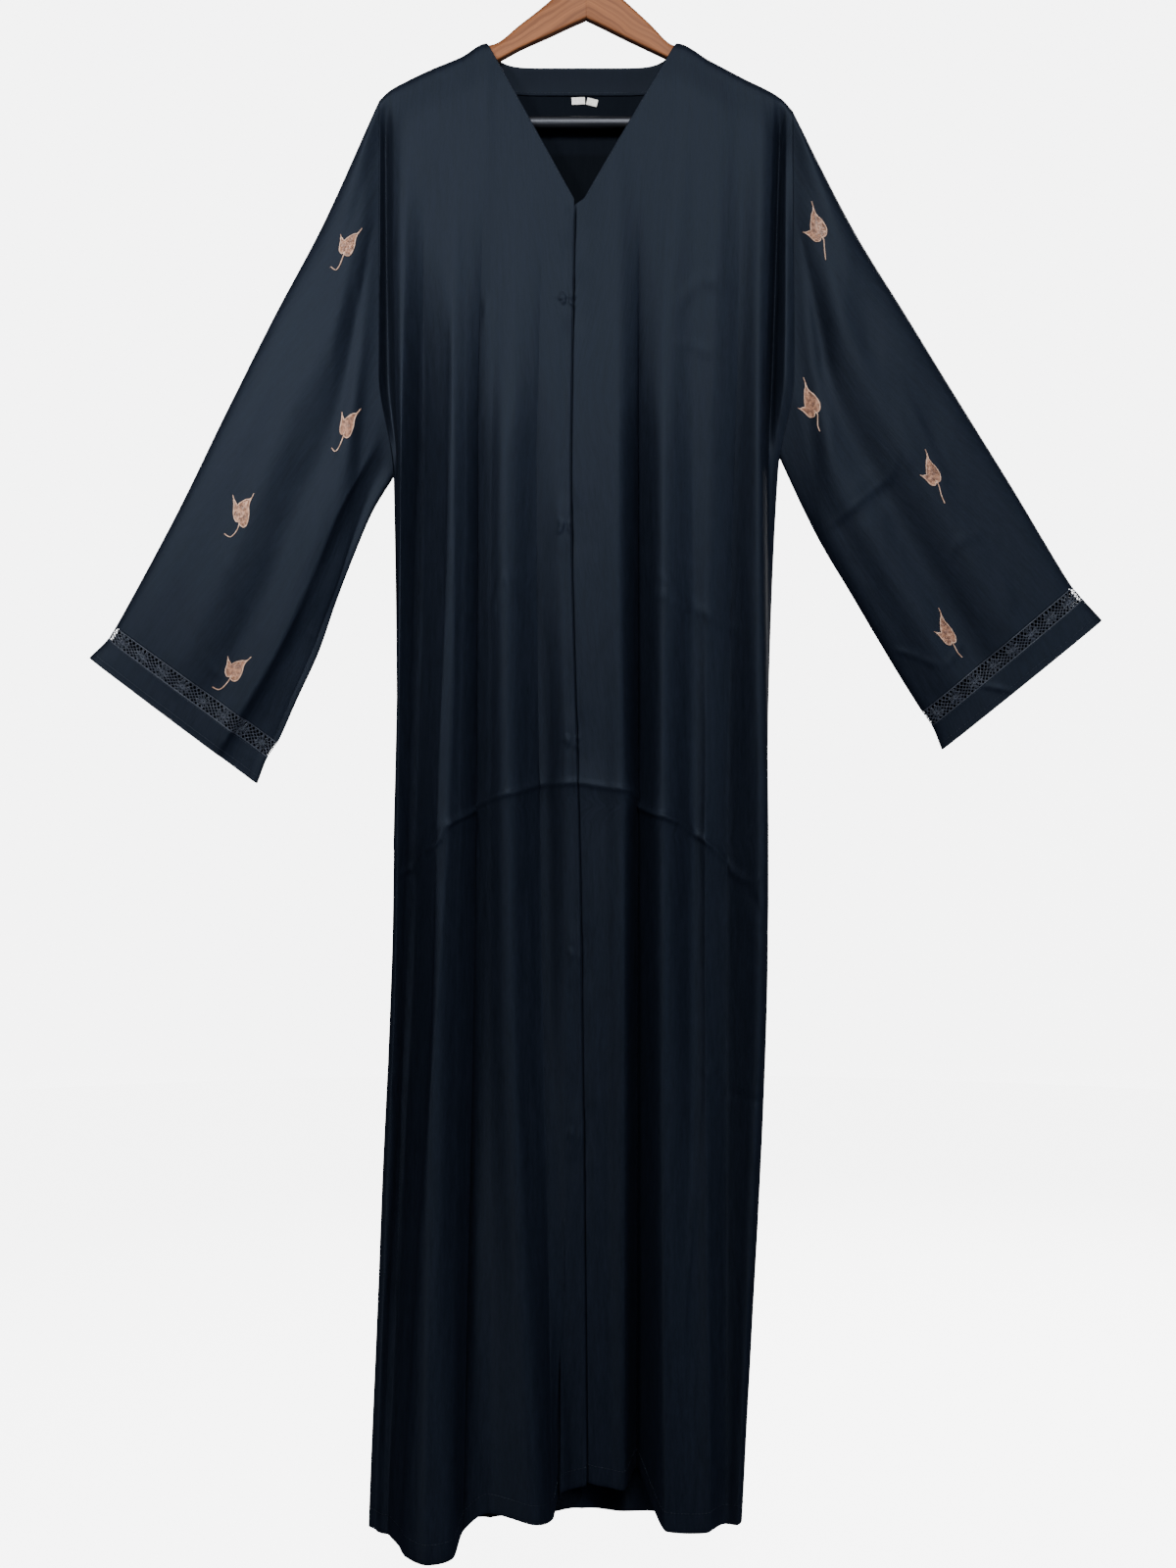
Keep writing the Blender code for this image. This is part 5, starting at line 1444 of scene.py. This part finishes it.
def cloth_finish(name, dark, light, bump=0.3, shine=0.17, fades_to_painted_shade=False):
    """Crepe; with the fade set, its colour also darkens deeper below its top edge, which is painted shade."""
    made, tree, shader = new_material(
        name, Specular_IOR_Level=shine, Specular_Tint=(0.60, 0.77, 1.0, 1.0), Sheen_Weight=0.0
    )
    weave = masks(tree, CREPE)
    ramp = two_tone(tree, shader, weave["Shade"], dark, light)
    varied_roughness(tree, shader, weave["Shade"], 0.55, 0.68)
    bumped(tree, shader, weave["Height"], bump, 0.0006)
    # painted shade: the colour darkens from the top edge downwards
    if fades_to_painted_shade:
        values = {"Value": grain_place(tree)[1], "To Min": 1.0, "To Max": 0.0}
        values.update(zip(("From Min", "From Max"), PAINTED_SHADE_OVER))
        span = add(tree, "MapRange", values, interpolation_type="SMOOTHSTEP")
        fill(tree, ramp, {0: span.outputs[0]})
    return made


def thread_finish(name, dark, light, roughness, tint=WHITE, sheen=(0.0, 0.5), twist=1400.0, bump=0.4):
    made, tree, shader = new_material(
        name, Roughness=roughness, Specular_IOR_Level=0.5, Specular_Tint=(*tint, 1.0),
        Sheen_Weight=sheen[0], Sheen_Roughness=sheen[1],
    )
    spun = masks(tree, FIBRE, {0: twist})
    two_tone(tree, shader, spun["Shade"], dark, light)
    bumped(tree, shader, spun["Height"], bump, 0.0002)
    return made


def wood_finish():
    made, tree, shader = new_material("oiled red wood", Specular_IOR_Level=0.12)
    wood = masks(tree, WOOD)
    mix = weighted(tree, (wood["Band"], 0.65), (wood["Line"], 0.35))
    two_tone(tree, shader, mix, (0.070, 0.021, 0.0075), (0.262, 0.103, 0.044), 0.26, 0.70)
    varied_roughness(tree, shader, wood["Band"], 0.44, 0.58)
    bumped(tree, shader, wood["Height"], 0.25, 0.0003)
    return made


def metal_finish(name, dark, light, roughness, scale, stretch=1.0):
    """Metal with fine marks along its length."""
    made, tree, shader = new_material(name, Metallic=1.0)
    values = {0: object_place(tree), 1: (scale / stretch, scale, scale)}
    scaled = add(tree, "VectorMath", values, operation="MULTIPLY").outputs[0]
    marks = noise_node(tree, scaled, 1.0, 3.0)
    two_tone(tree, shader, marks, dark, light)
    varied_roughness(tree, shader, marks, roughness * 0.8, roughness * 1.25)
    bumped(tree, shader, marks, 0.15, 0.0001)
    return made


CREPE = crepe_group()
FIBRE = fibre_group()
WOOD = wood_group()
BLACK_CREPE = cloth_finish("black crepe", (0.0020, 0.0029, 0.0056), (0.0046, 0.0062, 0.0118), 0.55)
FACING_CLOTH = cloth_finish(
    "black facing cloth", (0.0018, 0.0024, 0.0048), (0.0032, 0.0042, 0.0082), 0.35, shine=0.12
)
# Both inside finishes below are near-black, darker than real cloth: painted shade for the lace's holes and
# for the back's inside seen through the neck.
SHADE_SHEET_CREPE = cloth_finish(
    "near-black crepe of painted shade", (0.0004, 0.0006, 0.0014), (0.0008, 0.0011, 0.0025), shine=0.02
)
PAINTED_SHADE_FADE_CREPE = cloth_finish(
    "near-black crepe with painted shade fading down", (0.0004, 0.0006, 0.0014), (0.0012, 0.0017, 0.0034), shine=0.04, fades_to_painted_shade=True
)
LACE_FINISH = thread_finish(
    "black lace thread", (0.019, 0.023, 0.033), (0.037, 0.044, 0.061), 0.42, (0.80, 0.88, 1.0)
)
SEWING_THREAD = thread_finish(
    "black sewing thread", (0.004, 0.005, 0.009), (0.008, 0.010, 0.016), 0.5, (0.66, 0.80, 1.0)
)
LEAF_SILK = thread_finish("copper silk", (0.10, 0.040, 0.022), (0.36, 0.18, 0.105), 0.5, sheen=SILK_SHEEN)
RIM_SILK = thread_finish("pale rose cord", (0.36, 0.205, 0.135), (0.60, 0.40, 0.29), 0.5, sheen=SILK_SHEEN)
TAPE = thread_finish(
    "white tape", (0.62, 0.61, 0.58), (0.80, 0.79, 0.76), 0.8, sheen=(0.2, 0.5), twist=2400.0, bump=0.5
)
RED_WOOD = wood_finish()
BAR_METAL = metal_finish("brushed bar", (0.03, 0.033, 0.04), (0.07, 0.074, 0.085), 0.5, 900.0, 60.0)
HOOK_METAL = metal_finish("bright hook wire", (0.50, 0.51, 0.53), (0.66, 0.67, 0.69), 0.20, 700.0)
STUD_METAL = metal_finish("dark stud", (0.05, 0.055, 0.065), (0.10, 0.105, 0.12), 0.35, 1500.0)


# ---- the cloak ----
PRESSED_FROM_ROW = 40
HEM_STITCH_ROW = -5
V_STITCH_ROW = 3
V_STITCHES_SHORT_OF_NECK = 6  # columns
INSIDE_SHOWN = (150.0, 345.0)  # drops between which the back's inside is seen through the neck
INSIDE_REACH = 118.0
CUFF_STITCH_ROWS = (-6, 1)
SLEEVE_COLUMNS = 161  # of each face, along the lace
CUFF_COLUMNS = 121
# The sheet set out below lies inside the sleeve behind the lace. It is near-black, and the real lace has
# none: it is painted shade for the holes.
SHADE_SHEET_INSIDE = 1.1
SHADE_SHEET_FACE = 0.15  # from its middle
SHADE_SHEET_TURN = 0.25
FACING_TURN = 0.3
FACING_UNEVEN = 0.12
SHADE_SHEET_COLUMNS = slice(150, -4)  # round the lace, all but its outer fold
SHADE_SHEET_UNDER_SLEEVE = 0.02  # of a section
SHADE_SHEET_UNDER_CUFF = 0.08


def fold_column(folds, name):
    return COLUMNS_PER_FOLD * [row.name for row in folds].index(name)


def press(made, wide, columns):
    """Keep some of a grid's columns as sharp lines below the shoulder."""
    mesh = made.data
    ends = np.empty(2 * len(mesh.edges), int)
    mesh.edges.foreach_get("vertices", ends)
    ends = ends.reshape(-1, 2)
    down = ends[:, 0] % wide == ends[:, 1] % wide
    low = ends.min(axis=1) // wide >= PRESSED_FROM_ROW
    sharp = down & np.isin(ends[:, 0] % wide, columns) & low
    mesh.attributes.new("sharp_edge", "BOOLEAN", "EDGE").data.foreach_set("value", sharp)


def cloth_piece(
    name, points, normals, relief, edges, finish, radius=TURN_RADIUS, replaces=False, closed=False
):
    """Cloth with its relief, and with some of its edges turned in; returns it with its face."""
    face = points + normals * relief[..., None]
    whole, tops = face, normals
    for edge, depth in edges.items():
        whole, tops = turned_in(whole, tops, edge, depth, radius)
    out = faces_out(points, normals, closed)
    return grid_piece(name, whole, finish, "black_cloth", replaces, closed, out), face


def hung(points, closed=False):
    size, area = cut_size(points, closed)


def make_panel(name, shell, folds, drawn, edges, first=0):
    """A front or the back, with its valleys pressed; first is its own first column."""
    points, normals, relief = shell
    made, face = cloth_piece(name, points, normals, OUTER_LAYER + relief, edges, BLACK_CREPE, replaces=True)
    rolled = len(ROLL_ANGLES) - 1
    before, behind = rolled + edges["first"], rolled + edges["last"]
    valleys = [before + first + fold_column(folds, fold) for fold, _, _ in drawn]
    press(made, before + points.shape[1] + behind, valleys)
    return made, face


def make_body():
    """The two fronts and the back, with their stitching; returns the points of each and the back's outward
    normals.
    """
    shells = right_front(), left_front(), back_panel()
    (right, right_out, _), (left, left_out, _), (back, back_out, _) = shells
    ends = {"low": 5, "top": 3}
    front_right, right_face = make_panel(
        "front_right", shells[0], FRONT_RIGHT, FRONT_RIGHT_FOLDS, {"first": 12, "last": 6, **ends}
    )
    front_left, left_face = make_panel(
        "front_left", shells[1], FRONT_LEFT, FRONT_LEFT_FOLDS, {"first": 3, "last": 6, **ends}, HIDDEN_COLUMNS
    )
    back_made, back_face = make_panel("back", shells[2], BACK, BACK_FOLDS, {"first": 6, "last": 6, **ends})
    faces = ((right_face, right_out), (left_face, left_out), (back_face, back_out))
    hem_stitches = stitches_piece("hem_stitches", *(stitch_row(*face, HEM_STITCH_ROW) for face in faces))
    right_neck = fold_column(FRONT_RIGHT, "inner_valley") - V_STITCHES_SHORT_OF_NECK
    left_neck = HIDDEN_COLUMNS + fold_column(FRONT_LEFT, "inner_ridge") - V_STITCHES_SHORT_OF_NECK
    neck_stitches = stitches_piece(
        "neck_stitches",
        stitch_row(*faces[0], V_STITCH_ROW, slice(None, right_neck)),
        stitch_row(*faces[1], V_STITCH_ROW, slice(HIDDEN_COLUMNS, left_neck)),
    )
    hung(right)
    hung(left)
    # a near-black sheet of painted shade inside the back, where the neck shows it
    inside = make_back_inside(back_face, back_out)
    hung(back)
    return right, left, back, back_out


def make_back_inside(face, normals):
    """The inside of the back's cloth where the neck lets it be seen, as a near-black sheet whose colour also
    darkens downwards: painted shade in place of the shade the fronts cast there.
    """
    columns = np.flatnonzero(np.abs(face[CREST_ROWS, :, 0]) < INSIDE_REACH)
    drops = -face[:, columns, 2].mean(axis=1)
    part = np.ix_(np.flatnonzero((drops > INSIDE_SHOWN[0]) & (drops < INSIDE_SHOWN[1])), columns)
    points, inner = face[part] - normals[part] * 2 * OUTER_LAYER, -normals[part]
    out = faces_out(points, inner)
    return grid_piece("back_inside_painted_shade", points, PAINTED_SHADE_FADE_CREPE, "black_cloth", facing_out=out)


def make_facing(back, back_out):
    """The strip that faces the back neck, on the inside of the back."""
    middle, half = (NECK_LEFT + NECK_RIGHT) / 2, (NECK_LEFT - NECK_RIGHT) / 2
    columns = np.flatnonzero(np.abs(back[0, :, 0] - middle) <= FACING_REACH * half)
    drop_run = back[0, columns, 2] - back[:, columns, 2]
    depth = int(np.argmax(drop_run.mean(axis=1) > FACING_WIDTH))
    at = np.linspace(0, 1, depth + 1) * FACING_WIDTH
    points, normals = (
        np.stack(
            [
                np.stack([np.interp(at, run, grid[:, column, axis]) for axis in range(3)], axis=-1)
                for run, column in zip(drop_run.T, columns)
            ],
            axis=1,
        )
        for grid in (back, back_out)
    )
    normals = unit(normals)
    points = points - normals * (CLOTH + FACING_GAP)
    relief = OUTER_LAYER + FACING_UNEVEN * soft_noise(points[..., 0], -points[..., 2], 9, 14, 51)
    edges = dict.fromkeys(("top", "low", "first", "last"), 2)
    made, face = cloth_piece(
        "back_neck_facing", points, -normals, relief, edges, FACING_CLOTH, FACING_TURN, replaces=True
    )
    stitches = stitches_piece("facing_stitches", stitch_row(face, -normals, -2))
    hung(points)


def make_sleeve(side, sections, front_edge, back_edge, creases, leaves, seed):
    """A sleeve with its lace, its cuff and its leaves."""
    points, normals, relief = sleeve_shell(sections, front_edge, back_edge, creases, seed)
    made, face = cloth_piece(
        f"sleeve_{side}", points, normals, OUTER_LAYER + relief, {"top": 4, "low": 2}, BLACK_CREPE,
        replaces=True, closed=True,
    )
    lace_pieces = make_lace(side, sections, creases, seed)
    middle = len(front_edge) - 1
    fills, rims = [], []
    for face_name, way, columns in (("front", -1, slice(middle + 1)), ("back", 1, slice(middle, None))):
        surface = Face(face[:, columns], way)
        for number, leaf in enumerate(leaves[face_name]):
            leaf_fill, leaf_rim = leaf_meshes(leaf, surface, seed * 100 + way * 10 + number)
            fills.extend(leaf_fill)
            rims.extend(leaf_rim)
    leaf_pieces = (
        new_piece(f"leaves_{side}_fill", *joined(fills), LEAF_SILK, "black_cloth"),
        new_piece(f"leaves_{side}_rim", *joined(rims), RIM_SILK, "black_cloth"),
    )
    hung(points, closed=True)
    make_cuff(side, sections, creases, seed)


def make_lace(side, sections, creases, seed):
    """The two halves of a sleeve's lace, and a near-black sheet inside it behind the lace, painted shade for
    its holes.
    """
    first = len(sections) - 3.0
    ring, normals, relief = creased_ring(
        sections, np.linspace(first, first + 1, 7), SLEEVE_COLUMNS, creases, seed
    )
    ring, normals = closed_round(ring + normals * relief[..., None]), closed_round(normals)
    made = []
    for where, columns in (("front", slice(SLEEVE_COLUMNS)), ("back", slice(SLEEVE_COLUMNS - 1, None))):
        threads = lace_half(Band(ring[:, columns], normals[:, columns]), LACE_REPEATS)
        made.append(new_piece(f"lace_{side}_{where}", *threads, LACE_FINISH, "black_lace", replaces=True))
    # the near-black sheet of painted shade behind the lace
    over_seams = np.linspace(first - SHADE_SHEET_UNDER_SLEEVE, first + 1 + SHADE_SHEET_UNDER_CUFF, 9)
    ring, normals, relief = creased_ring(sections, over_seams, SLEEVE_COLUMNS, creases, seed)
    points = (ring + normals * (relief - SHADE_SHEET_INSIDE)[..., None])[:, SHADE_SHEET_COLUMNS]
    out = normals[:, SHADE_SHEET_COLUMNS]
    painted_shade_sheet, _ = cloth_piece(
        f"lace_{side}_backing", points, out, np.array(SHADE_SHEET_FACE), {"first": 2, "last": 2},
        SHADE_SHEET_CREPE, SHADE_SHEET_TURN,
    )
    return *made, painted_shade_sheet


def make_cuff(side, sections, creases, seed):
    """The band of cloth below the lace, with its two rows of stitches."""
    first = len(sections) - 2.0
    points, normals, relief = creased_ring(
        sections, np.linspace(first, first + 1, 22), CUFF_COLUMNS, creases, seed
    )
    made, face = cloth_piece(
        f"cuff_{side}", points, normals, OUTER_LAYER + relief, {"top": 2, "low": 8}, BLACK_CREPE,
        replaces=True, closed=True,
    )
    rounds = closed_round(face), closed_round(normals)
    stitches = stitches_piece(
        f"cuff_{side}_stitches", *(stitch_row(*rounds, row, lift=0.0) for row in CUFF_STITCH_ROWS)
    )
    hung(points, closed=True)


def make_label(label, back):
    """A blank loop of tape, sewn in below the facing."""
    near = np.abs(back[CREST_ROWS, :, 0] - label.across) < 30.0
    reach = back[CREST_ROWS : CREST_ROWS + 40][:, near]
    top = label.drop - label.height / 2
    row = np.argmin(np.abs(-reach[..., 2].mean(axis=1) - top))
    depth = reach[row, :, 1].min() - CLOTH - LAID_GAP - 0.1
    half = label.width / 2
    across, down = np.meshgrid(np.linspace(-half, half, 17), np.linspace(0, label.height, 9))
    off = -0.42 - 0.04 * np.cos(across * 9.0) - 0.25 * (1 - np.cos(across / 7))
    front = np.stack([across, off, label.height / 2 - down], axis=-1)
    loop = np.concatenate([front, front[::-1] * (1.0, -0.9, 1.0)])
    turn = np.array(Matrix.Rotation(math.radians(label.tilt), 3, "Y"))
    loop = loop @ turn.T + np.array((label.across, depth, -label.drop))
    made = grid_piece(label.name, loop, TAPE, "white_tape", replaces=True)


# ---- the hanger ----
ARM_RINGS = 90
ARM_SIDES = 30
CORNER_POINTS = 5
CAP_SHARE = 0.9
CAP_RISE = 0.5
BAR_END_SHARE = 0.88
BAR_BEVEL = 0.8
HOOK_SHANK = ((0.0, -HOOK_FOOT), (0.0, -HOOK_FOOT + 12), (3.5, -46.0), (11.0, -37.0), (17.5, -28.5))
HOOK_END = (-15.5, -31.0)
HOOK_TIP = (0.99, 0.95, 0.86, 0.7, 0.4)  # shares of the wire's radius


def make_arm(name, neck_rows, side):
    """One half of the wooden hanger as a smooth body, from the middle joint to its tip."""
    rows = [(side * row.across, row.top, row.drop, row.half_thickness) for row in neck_rows]
    for tail in HANGER_TAIL:
        top = float(shoulder_drop(side * tail.reach)) + CLOTH_OFF_HANGER
        low = BAR_DROP + BAR_RADIUS + LUG_UNDER_BAR if tail.depth is None else top + tail.depth
        rows.append((tail.reach, top, low, tail.half_thickness))
    rows = np.array(rows)
    knots = rows[:, 0]
    reach = np.unique(np.concatenate([np.linspace(knots[0], knots[-1], ARM_RINGS), knots]))
    top, low, half = (np.interp(reach, knots, rows[:, k]) for k in (1, 2, 3))
    neck = reach < knots[len(neck_rows) - 1]
    top[neck], low[neck] = (through(knots, rows[:, k], reach[neck]) for k in (1, 2))
    soft = np.maximum(LOW_EDGE_ROUND * half, 0.5)
    crown = np.radians(np.linspace(0, 180, ARM_SIDES // 2 + 1))
    corner = np.radians(np.linspace(0, 90, CORNER_POINTS))
    rings = []
    for x, t, b, h, s in zip(side * reach, top, low, half, soft):
        ring = [(x, h * math.cos(a), h * math.sin(a) - t - h) for a in crown]
        ring += [(x, -h + s - s * math.cos(a), -b + s - s * math.sin(a)) for a in corner]
        ring += [(x, h - s + s * math.sin(a), -b + s - s * math.cos(a)) for a in corner]
        rings.append(np.array(ring if side > 0 else ring[::-1]))
    caps = []
    for ring, sign in ((rings[0], -side), (rings[-2], side)):
        middle = ring.mean(axis=0)
        caps.append(middle + (ring - middle) * CAP_SHARE + (sign * CAP_RISE, 0, 0))
    rings = [caps[0], *rings, caps[1]]
    size = len(rings[0])
    faces = [tuple(range(size))[::-1], tuple((len(rings) - 1) * size + k for k in range(size))]
    faces += ring_faces(len(rings), size)
    made = new_piece(name, np.concatenate(rings), faces, RED_WOOD, "red_wood", replaces=True)
    made.data.set_sharp_from_angle(angle=math.radians(40))


def make_bar():
    """The trouser bar, with a small bevel at each end."""
    along = np.array((-BAR_REACH, -BAR_REACH + BAR_BEVEL, BAR_REACH - BAR_BEVEL, BAR_REACH))
    line = np.stack([along, np.zeros(4), np.full(4, -BAR_DROP)], axis=1)
    ends = BAR_RADIUS * BAR_END_SHARE
    bar = tube(line, (ends, BAR_RADIUS, BAR_RADIUS, ends), 40)
    made = new_piece("hanger_bar", *bar, BAR_METAL, "bar_metal", replaces=True)
    made.data.set_sharp_from_angle(angle=math.radians(30))


def make_hook():
    """The bent wire of the hook, smooth and with a rounded tip."""
    centre_drop = HOOK_RADIUS - WIRE_RADIUS
    round_top = (
        (HOOK_RADIUS * math.cos(a), HOOK_RADIUS * math.sin(a) - centre_drop)
        for a in np.radians(np.linspace(-8, 200, 15))
    )
    path = smooth_path([*HOOK_SHANK, *round_top, HOOK_END], 160)
    line = np.stack([path[:, 0], np.zeros(len(path)), path[:, 1]], axis=1)
    radii = np.full(len(line), WIRE_RADIUS)
    radii[-len(HOOK_TIP) :] = WIRE_RADIUS * np.array(HOOK_TIP)
    new_piece("hanger_hook", *tube(line, radii, 20), HOOK_METAL, "hook_metal", replaces=True)


# ---- the room ----
FLOOR_BELOW_HEM = 70.0
ROOM_RADIUS = 5500.0
ROOM_HEIGHT = 6500.0
ROOM_CORNER = 1500.0
ROOM_SIDES = 72
ROOM_GLOW = 6.0
AIR_COLOUR = (0.48, 0.56, 1.0, 1.0)
AIR_LIGHT = 0.08
CAMERA_LENS = 50.7
CAMERA_PLACE = (0.0, -2.15, -0.853)
# in metres: the light's place, where it aims, its size; then its power, colour and spread in degrees
Lamp = namedtuple("Lamp", "name place aim size power colour spread", defaults=(180.0,))
LAMPS = (
    Lamp("key", (0.22, -2.05, 0.50), (0.0, 0, -0.62), 0.6, 70.0, (1.0, 0.985, 0.96)),
    Lamp("fill", (2.4, -1.9, -0.7), (0, 0, -0.7), 1.6, 34.0, (0.80, 0.88, 1.0)),
    Lamp("side", (-1.6, -2.0, 0.25), (-0.40, 0, -0.40), 0.5, 2.8, (1.0, 0.985, 0.96), 29.0),
    Lamp("hem", (-1.3, -1.3, -1.55), (-0.14, 0, -1.44), 0.5, 0.7, (1.0, 0.99, 0.98), 38.0),
    Lamp("rear", (1.1, 1.9, 0.7), (0, 0, -0.75), 1.2, 120.0, (1.0, 0.99, 0.97)),
)


def make_room(floor):
    """A pale floor that curves up into a wall all round."""
    flat = ROOM_RADIUS - ROOM_CORNER
    profile = [(flat, 0.0)]
    for angle in np.radians(np.linspace(10, 90, 9)):
        profile.append((flat + ROOM_CORNER * math.sin(angle), ROOM_CORNER * (1 - math.cos(angle))))
    profile.append((ROOM_RADIUS, ROOM_HEIGHT))
    turns = np.arange(ROOM_SIDES) * 2 * math.pi / ROOM_SIDES
    vertices = [(r * math.cos(a), r * math.sin(a), floor + height) for r, height in profile for a in turns]
    vertices.append((0, 0, floor))
    faces = ring_faces(len(profile), ROOM_SIDES)
    faces.extend((len(vertices) - 1, k, (k + 1) % ROOM_SIDES) for k in range(ROOM_SIDES))
    made, tree, shader = new_material(
        "pale room", Roughness=0.9, Specular_IOR_Level=0.0, Emission_Color=(*WHITE, 1.0),
        Emission_Strength=ROOM_GLOW,
    )
    two_tone(tree, shader, noise_node(tree, object_place(tree), 1.4), (0.80, 0.80, 0.80), (0.82, 0.82, 0.82))
    room = linked("room", smooth_mesh("room", vertices, faces, made))
    room.visible_diffuse = False
    room.visible_glossy = False


def make_lights():
    """The lamps, and the faint light of the air."""
    for lamp in LAMPS:
        data = bpy.data.lights.new(lamp.name, "AREA")
        data.shape = "RECTANGLE"
        data.size = data.size_y = lamp.size
        data.energy = lamp.power
        data.color = lamp.colour
        data.spread = math.radians(lamp.spread)
        made = linked(lamp.name, data)
        made.location = lamp.place
        made.rotation_euler = (Vector(lamp.aim) - Vector(lamp.place)).to_track_quat("-Z", "Y").to_euler()
    world = bpy.data.worlds.new("room light")
    world.use_nodes = True
    fill(world.node_tree, world.node_tree.nodes["Background"], {0: AIR_COLOUR, 1: AIR_LIGHT})
    bpy.context.scene.world = world


def make_camera():
    data = bpy.data.cameras.new("camera")
    data.lens = CAMERA_LENS
    data.sensor_width = 36.0
    data.sensor_fit = "AUTO"
    data.clip_end = 50.0
    made = linked("camera", data)
    made.location = CAMERA_PLACE
    made.rotation_euler = (math.pi / 2, 0, 0)
    bpy.context.scene.camera = made


make_camera()
right, left, back, back_out = make_body()
make_facing(back, back_out)
arm = slice(ARM_ROWS + 1)
make_sleeve("right", SLEEVE_RIGHT, right[arm, -1], back[arm, 0], SLEEVE_RIGHT_CREASES, SLEEVE_RIGHT_LEAVES, 3)
make_sleeve("left", SLEEVE_LEFT, left[arm, -1], back[arm, -1], SLEEVE_LEFT_CREASES, SLEEVE_LEFT_LEAVES, 4)
for label in LABELS:
    make_label(label, back)
make_arm("hanger_arm_right", HANGER_RIGHT, -1)
make_arm("hanger_arm_left", HANGER_LEFT, 1)
make_bar()
make_hook()
for number in range(1, len(STUD_DROPS) + 1):
    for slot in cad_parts[f"press_stud_{number}"].material_slots:
        slot.material = STUD_METAL
make_room(cad_box[0][2] / MM - FLOOR_BELOW_HEM)
make_lights()
